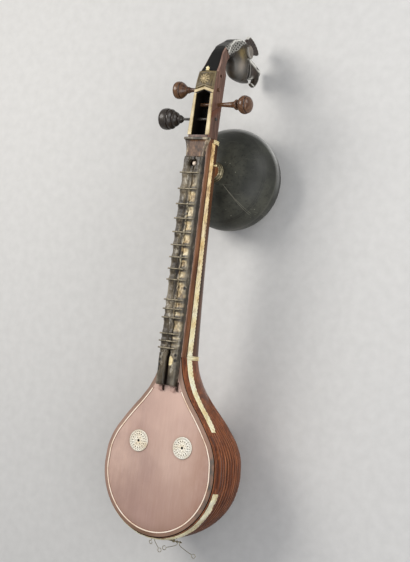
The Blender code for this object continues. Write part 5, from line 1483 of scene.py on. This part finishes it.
def make_beast_head():
    """The beast's head at the scroll's end: lofts joined into one skin, then carved point by point."""
    verts, faces = [], []
    for part_verts, part_faces in (loft(SLEEVE_RIBS, 6, 64), loft(SKULL_RIBS, 6, 64), loft(SNOUT_RIBS, 5, 48),
                                   loft(JAW_RIBS, 5, 48), loft(LIP_RIBS, 5, 40), plate(CREST, -5.5, 5.5),
                                   plate(EAR, -26, -14), plate(EAR, 14, 26)):
        faces += [tuple(len(verts) + v for v in face) for face in part_faces]
        verts += part_verts
    beast = block("beast", verts, faces)
    remesh = beast.modifiers.new("join", "REMESH")
    remesh.mode = "VOXEL"
    remesh.voxel_size = HEAD_VOXEL
    relax = beast.modifiers.new("relax", "SMOOTH")
    relax.factor = 0.5
    relax.iterations = 5
    points, faces = settled(beast)
    y, z = points[:, 1] - HEAD_Y, points[:, 2] - PEGBOX_TOP_Z
    side = np.abs(points[:, 0])
    mesh, normals = solid("normals", points, faces)
    bpy.data.meshes.remove(mesh)
    flank = unit(np.abs(normals[:, 0]) * 1.6)

    def line(width, *places):
        return near_line(y, z, places, width)

    def spot(*place):
        return gauss(y, z, *place)

    # The mane: a band of scales from the scroll's end to the ear, with a painted highlight along its arris
    # and black above it.
    low_line = np.interp(z, [p[1] for p in MANE_LOW], [p[0] for p in MANE_LOW])
    mane = unit((y - low_line) / 2.5) * unit((z + 143) / 5) * flank
    scale = scales(y * 0.8 - z * 0.6, y * 0.6 + z * 0.8, 8.4)
    outline = (1 - np.abs(scale * 2 - 1)) ** 0.8
    arris = line(3.6, *MANE_TOP) * unit((side - 8) / 4)
    top = unit((y - low_line - 5) / 3) * unit((0.62 - flank) / 0.25) * unit((z + 150) / 6)

    # The crest: dark, with grooves that fan out along it and a bright bead on its outer edge.
    on_crest = unit((6.5 - side) / 1.5) * unit((y - 88) / 8) * unit((-150 - z) / 8)
    flute = np.abs(np.sin(np.arctan2(y - 70, -(z + 150)) * 26))
    crest_edge = line(4.5, *CREST[2:9]) * on_crest
    bead = crest_edge * (0.6 + 0.4 * np.abs(np.sin((y - z) * 0.45)))

    # The ear, a pale leaf on the head's side with a shadow round it.
    ear = unit((side - 21) / 2) * unit(spot(92, -155, 15, 11) * 2.2)
    ear_shadow = line(3.2, *EAR, EAR[0]) * unit((22.5 - side) / 2) * flank
    ear_edge = line(4.5, *EAR[:4]) * unit((side - 21) / 2)
    ear_cup = spot(92, -155, 10, 3.5) * unit((side - 22) / 3)

    # Jowl, brow, the painted highlight down the snout, the line behind the muzzle, lip, tooth and eye.
    jowl = spot(40, -118, 22, 26) * flank
    brow = spot(79, -122, 17, 16) * flank * (1 - mane) * (1 - ear)
    snout = line(5.5, (77, -168), (73, -188), (69, -214), (64, -232), (62, -248))
    pits = spot(68, -228, 2.6, 9)
    behind = line(2.0, (72, -179), (56, -183), (40, -187), (29, -189)) * flank
    muzzle = spot(50, -208, 15, 15) * flank
    cheek = line(5.0, (60, -172), (40, -176), (24, -178)) * flank
    gold = spot(34, -206, 6, 7) * flank
    tooth = spot(20, -190, 4, 4) * flank
    curl = line(2.6, (27, -209), (22, -216), (20, -226), (17, -228)) * flank
    rim = line(3.0, (55, -240), (45, -245), (34, -241), (22, -233))
    eye = spot(66, -158, 4.5, 5.0) * flank
    lid = line(2.2, (72, -150), (75, -158), (71, -167)) * flank
    teeth = np.abs(np.sin((z + 180) * 0.6)) * line(3.0, (30, -192), (33, -200)) * flank

    lift = (0.9 * mane * (scale - 0.5) + 0.9 * arris - 0.9 * on_crest * (1 - flute) ** 2 + 0.6 * bead
            + 1.6 * snout - 2.2 * pits * snout + 2.2 * jowl + 1.0 * behind - 0.9 * cheek - 1.2 * muzzle
            + 0.8 * gold + 1.6 * tooth + 1.2 * curl + 0.8 * rim + 1.6 * eye + 0.9 * lid - 1.4 * ear_cup
            - 1.2 * ear_shadow - 1.0 * brow)
    lift += 0.25 * np.array([rough(*p, 0.12) for p in points])
    points = points + normals * lift[:, None] - normals * CARVING_DEPTH
    points[:, 0] = np.clip(points[:, 0], -HEAD_HALF_LIMIT, HEAD_HALF_LIMIT)
    # Painted shade on the faces that look down the instrument, towards the pegbox.
    under = unit(-normals[:, 1])
    groove = unit(0.9 * mane * (scale > 0.75) + 0.7 * mane * (scale < 0.08) + 0.9 * ear_shadow + 0.6 * ear_cup
                  + 0.9 * on_crest * (1 - flute) ** 1.5 + pits + 0.7 * cheek + 0.35 * under)
    edge = unit(0.7 * mane * outline + 0.8 * arris + 0.95 * bead + 1.1 * snout * (1 - pits * 1.6)
                + 0.55 * behind + 0.16 * ear + 0.3 * ear_edge + 0.6 * gold + tooth + 0.9 * curl + 0.5 * rim
                + 0.35 * lid + 0.6 * teeth + 0.2 * jowl)
    dark = unit(np.maximum(on_crest * (1 - crest_edge), 0.85 * muzzle * (1 - gold)))
    pink = unit(0.7 * spot(44, -124, 15, 14) * flank + 0.75 * ear)
    paints = {"groove": groove, "edge": edge, "dirt": np.clip(1.1 * brow, 0, 0.9), "worn": pink,
              "along": dark, "black": top * (1 - arris)}
    piece("beast_head", points, faces, HEAD_SKIN, ("head",), "carved_head", paints, 60)


# Pegs
URN = ((5, 0), (5, 12), (5.6, 20), (7, 26), (8.6, 29.5), (8, 32), (9.4, 35), (12.6, 39), (16.4, 43.5),
       (19.6, 48), (21.8, 53), (22.4, 58), (22.2, 62), (20.6, 65.5), (17.6, 68), (13, 70.2), (6, 71))
DISC = ((4, 0), (3.6, 16), (3.6, 32), (6, 35), (8.5, 38), (10.5, 42), (10.8, 45), (9.8, 47), (13, 49.5),
        (17, 53), (19, 57), (18.4, 60.5), (21, 63), (24.6, 66.5), (25.4, 70), (24.6, 73), (26.6, 76),
        (27.5, 81), (27.4, 87), (26, 92), (22, 96.5), (14, 100), (6, 102))
VASE = ((4.5, 0), (5.4, 14), (6.4, 28), (7.6, 40), (9.2, 46), (12, 50), (13.2, 53), (12.4, 56), (10, 58.5),
        (12, 60.5), (17, 63.5), (21, 68), (22.8, 73), (22.9, 78), (21.4, 82.5), (20.4, 84), (19.6, 87),
        (15, 91), (9, 94))


def make_peg(name, place, side, material, slot, head, lines):
    """A turned peg; head is its smooth outline outside the cheek, and lines the places of its cut rings."""
    along, depth = place
    inner = pegbox_half(along) + GAP
    shaft = BORE - GAP
    profile = rounded_profile([(3.4, -32.5, True), (shaft, -31.0, True), (shaft, inner, True)], 4)
    groove = [0.0] * len(profile)
    for radius, out in rounded_profile([(r, inner + out) for r, out in head], 8):
        mark = max(step(1.4, 0.4, abs(out - inner - at)) for at in lines)
        profile.append((radius - 1.1 * mark, out))
        groove.append(0.9 * mark)
    # A faint painted highlight lies where the head is widest.
    edge = [0.0 if g > 0 else 0.15 * (r > 18) for g, (r, out) in zip(groove, profile)]
    profile = [(r, side * out) for r, out in profile]
    turned(name + "_turning", profile, (0, NECK_END_Y + along, -depth), (1, 0, 0), material, (name,), slot,
           paints={"groove": groove, "edge": edge}, body=name)


# Gourd and what holds it; its axis is upright
def gourd_line(inset_by, steps):
    """The gourd's outline from near the bolt over its face to its mouth, as (radius, place)."""
    rise = GOURD_WIDE_DEPTH - GOURD_FACE_DEPTH - inset_by
    radius = GOURD_RADIUS - inset_by
    narrow = math.sqrt(1 - (MOUTH_RADIUS / GOURD_RADIUS) ** 2)
    drop = (MOUTH_DEPTH - GOURD_WIDE_DEPTH) / narrow
    face = [(radius * math.sin(a), -GOURD_WIDE_DEPTH + rise * math.cos(a))
            for a in arc(steps, math.asin(COLLAR_RADIUS / radius), math.pi / 2)]
    return face + [(radius * math.cos(a), -GOURD_WIDE_DEPTH - drop * math.sin(a))
                   for a in arc(steps, 0, math.asin(narrow))[1:]]


def make_gourd():
    upright = ((0, BOLT_Y, 0), (0, SIN, COS))
    face, inner = gourd_line(0, 60), gourd_line(GOURD_WALL, 40)
    outer, edge, groove = [], [], []
    for radius, place in [(BOLT_BORE, face[0][1])] + face:
        rings = ((44, 0.35), (46, 0.35), (118, 0.45), (121, 0.45)) if place > -GOURD_WIDE_DEPTH - 1 else ()
        cut_in = max([depth * step(0.9, 0.2, abs(radius - at)) for at, depth in rings] + [0.0])
        outer.append((radius, place - cut_in))
        groove.append(1.2 * cut_in)
        # The groove paint darkens the cut rings; the edge paint is a faint painted highlight round the widest
        # line and a pale worn rim at the mouth.
        wide, mouth = abs(place + GOURD_WIDE_DEPTH), abs(place + MOUTH_DEPTH)
        edge.append(0.12 * step(6, 0, wide) + 0.4 * step(3, 0, mouth))
    inside = inner[::-1] + [(BOLT_BORE, inner[0][1])]
    groove += [0.4] * len(inside)
    edge += [0.0] * len(inside)
    turned("gourd_shell", outer + inside, *upright, GOURD_SKIN, ("gourd",), "gourd_skin", 192, True,
           {"edge": edge, "groove": groove}, body="gourd")

    foot = face[0][1] + GAP
    collar = ((BOLT_BORE, 0), (26.4, 0), (COLLAR_RADIUS, 0.6), (COLLAR_RADIUS, 2.4), (26.4, 3.0), (25.2, 3.4),
              (24.6, 4.2), (24.9, 5.2), (23.6, 6.4), (22, 7.2), (20.6, 8.2), (20.3, 9.4), (20.9, 10.4),
              (20.9, 11.6), (20.2, 12.7), (19.4, COLLAR_HEIGHT), (BOLT_BORE, COLLAR_HEIGHT))
    marks = [0.0, 0, 0, 0, 0.3, 0.8, 0.9, 0.4, 0, 0.2, 0.7, 0.7, 0.1, 0, 0, 0.2, 0]
    turned("gourd_collar_ring", [(radius, foot + up) for radius, up in collar], *upright, BRASS,
           ("gourd_collar",), "brass", 120, True, {"groove": marks}, 40, "gourd")

    base = GAP + 6 * math.tan(TILT)
    button = ((4, 0), (5.6, 0), (6, 0.5), (6, 2.6), (5.6, 4.2), (4.6, 5.6), (3, 6.6), (1.2, 7))
    bolt = [(4, -103)] + [(radius, base + up) for radius, up in button]
    turned("gourd_bolt_button", bolt, *upright, PURFLING, ("gourd_bolt",), "ivory", 48, smooth=40)
    washer = ((6.5, -0.2), (9.2, -0.2), (9.6, 0.4), (9.2, 1.0), (8, 1.2), (6.5, 1.0))
    turned("bolt_washer", [(radius, base + up) for radius, up in washer], *upright, DARK, (), "bowl_wood", 64,
           True, smooth=40)


def make_side_post():
    depth = NECK_WIDEST_DEPTH + 4.5
    y = BOLT_Y + 3
    profile = rounded_profile([(2.0, 0, True), (1.7, 1.5), (1.6, 3.2), (2.0, 4.6), (2.55, 5.8), (2.5, 7.0),
                               (1.5, 7.9), (0.5, 8.0, True)])
    start = (side_x(y, depth, GAP), y, -depth)
    turned("side_post_pin", profile, start, (1, 0, 0), IVORY, ("side_post",), "ivory", 32)


# Tail wires
def make_wire(name, x, reach, ring_side):
    """A wire with an eye round the rod, a straight shank and a ring at its far end."""
    eye = ROD_RADIUS + 0.8 + GAP
    points = [Vector((0, eye * math.cos(a), eye * math.sin(a)))
              for a in arc(24, math.radians(200), math.radians(-110))]
    end = Vector(reach)
    elbow = Vector((0, -8, end.z * 0.3))
    along = (end - elbow).normalized()
    across = along.cross(Vector((0, 0, 1))).normalized() * ring_side
    middle = end + along * WIRE_RING
    bends = [points[-1], elbow, elbow.lerp(end, 0.5) + Vector((0, -1, 0)), end + along * 0.2]
    points += smooth_line(bends, 10)[1:-1]
    points += [middle + (along * math.cos(a) + across * math.sin(a)) * WIRE_RING
               for a in arc(36, math.pi, math.radians(-150))]
    place = Vector((x, ROD_Y, ROD_Z))
    piece(name + "_twist", *tube([p + place for p in points], WIRE_RADIUS), WIRE, (name,), "brass", body=name)


make_bowl()
make_board()
ribbon("purfling_line", PURFLING_INSET - 0.1, PURFLING_INSET + 3.0, GAP, 0.85, PURFLING, ("purfling",),
       "ivory")
ribbon("purfling_red_line", PURFLING_INSET + 3.1, PURFLING_INSET + 4.1, 0.15, 0.4, RED_LINE)
ribbon("purfling_dark_line", PURFLING_INSET - 0.9, PURFLING_INSET - 0.2, 0.15, 0.4, RED_LINE)
make_rosette("left_rosette", -1)
make_rosette("right_rosette", 1)
make_neck()
for strip_side, side_name in ((-1, "left"), (1, "right")):
    strip_start, strip_end = JOINT_Y + BAND_WIDTH / 2 + GAP, NECK_END_Y - BAND_WIDTH - GAP
    make_side_strip(side_name + "_neck_strip", strip_side, strip_start, strip_end)
    strip_end = JOINT_Y - BAND_WIDTH / 2 - GAP
    make_side_strip(side_name + "_shoulder_strip", strip_side, SHOULDER_STRIP_Y, strip_end)
    make_ridge(side_name + "_fret_ridge", strip_side)
    make_stub(side_name + "_ridge_stub", strip_side)
make_tail_strip()
make_band("joint_band", JOINT_Y - BAND_WIDTH / 2)
make_band("pegbox_band", NECK_END_Y - BAND_WIDTH)
make_gold_patch()
make_shadow_slat("middle_shadow_slat", -9.6, 316, 329, 2.0, 6)
make_shadow_slat("right_shadow_slat", 30.2, 317, 340, 1.8, 7)
make_wax_bed("wax_bed_low", FRET_YS[-1] - 4, BOLT_Y - 8.2)
make_wax_bed("wax_bed_high", BOLT_Y + 8.2, NUT_Y - 1)
for fret_number in FRETS:
    make_fret(fret_number)
make_nut_panel()
make_cover()
make_upper_block()
make_beast_head()
make_peg("upper_left_peg", UPPER_LEFT_PEG, -1, PEG_WOOD, "peg_wood", URN, (32, 50, 64))
make_peg("lower_left_peg", LOWER_LEFT_PEG, -1, BLACK_WOOD, "black_peg", DISC, (47, 60.5, 73, 90))
make_peg("right_peg", RIGHT_PEG, 1, PEG_WOOD, "peg_wood", VASE, (58.5, 66, 83))
make_gourd()
make_side_post()
rod = [(1.1, -47), (ROD_RADIUS, -46.6), (ROD_RADIUS, 46.6), (1.1, 47)]
turned("tail_rod_bar", rod, (0, ROD_Y, ROD_Z), (1, 0, 0), BRASS, ("tail_rod",), "brass", 24, smooth=40)
make_wire("far_left_wire", -42, (-3, -13, -4), 1)
make_wire("left_wire", -33, (15, -26, 0), 1)
make_wire("right_wire", 33, (-30, -20, 0), -1)
make_wire("far_right_wire", 42, (38, -24, 0), 1)

finishes = {"pegbox": BOX_WOOD, "left_slot_strip": SLOT_IVORY, "right_slot_strip": SLOT_IVORY,
            "slot_arch": SLOT_IVORY, "gourd_seat": NECK_WOOD, "gourd_nut": BRASS, "tail_plate": BRASS}
for name, finish in finishes.items():
    for place in frame["nodes"][name].material_slots:
        place.material = finish


# Floor, lights and camera
FLOOR_HALF = 6.0
CAMERA_EYE = (1506.4, 440.1, 2393.9)
CAMERA_ROWS = ((0.8543, 0.1223, -0.5051), (-0.0771, 0.991, 0.1096), (0.514, -0.0547, 0.8561))
CAMERA_FOCUS = 1149.6
PICTURE_HEIGHT = 562.0
SENSOR_WIDTH = 36.0


def lamp(name, place, aim, size, power, colour=(1, 1, 1)):
    data = bpy.data.lights.new(name, "AREA")
    data.shape = "RECTANGLE"
    data.size, data.size_y = size
    data.energy = power
    data.color = colour
    made = placed(name, data)
    made.location = Vector(world([place])[0])
    made.rotation_euler = (Vector(world([aim])[0]) - made.location).to_track_quat("-Z", "Y").to_euler()


def studio():
    scene = bpy.context.scene
    scene.view_settings.view_transform = "Standard"
    floor = bpy.data.meshes.new("floor")
    corners = [(FLOOR_HALF * x, FLOOR_HALF * y, 0) for x, y in ((-1, -1), (1, -1), (1, 1), (-1, 1))]
    floor.from_pydata(corners, [], [(0, 1, 2, 3)])
    g = Graph("pale_floor")
    speck = g.noise(g.node("ShaderNodeTexCoord").outputs["Object"], 40.0, 3, 0.5)
    g.colour = g.ramp(speck, (0.3, rgb(206, 205, 202)), (0.7, rgb(212, 211, 208)))
    floor.materials.append(g.finish(0.9, specular=0.1))
    ground = placed("floor", floor)

    sky = bpy.data.worlds.new("studio")
    sky.use_nodes = True
    sky.node_tree.nodes["Background"].inputs["Color"].default_value = (0.9, 0.93, 1.0, 1.0)
    sky.node_tree.nodes["Background"].inputs["Strength"].default_value = 0.35
    scene.world = sky

    turn = np.array(((1, 0, 0), (0, COS, -SIN), (0, SIN, COS)))
    matrix = np.identity(4)
    matrix[:3, :3] = turn @ np.array(CAMERA_ROWS).T
    matrix[:3, 3] = world([CAMERA_EYE])[0]
    lens = bpy.data.cameras.new("camera")
    lens.sensor_width = SENSOR_WIDTH
    lens.lens = CAMERA_FOCUS * SENSOR_WIDTH / PICTURE_HEIGHT
    lens.clip_end = 100.0
    scene.camera = placed("camera", lens)
    scene.camera.matrix_world = Matrix(matrix.tolist())

    lamp("key", (-1300, 1500, 1900), (0, 500, 0), (1.2, 1.6), 46, (1.0, 0.97, 0.93))
    lamp("fill", (1900, 200, 1500), (0, 500, 0), (1.6, 1.6), 23, (0.98, 0.98, 1.0))
    lamp("rim", (1500, 1900, 500), (50, 800, -80), (1.0, 1.0), 12)


studio()
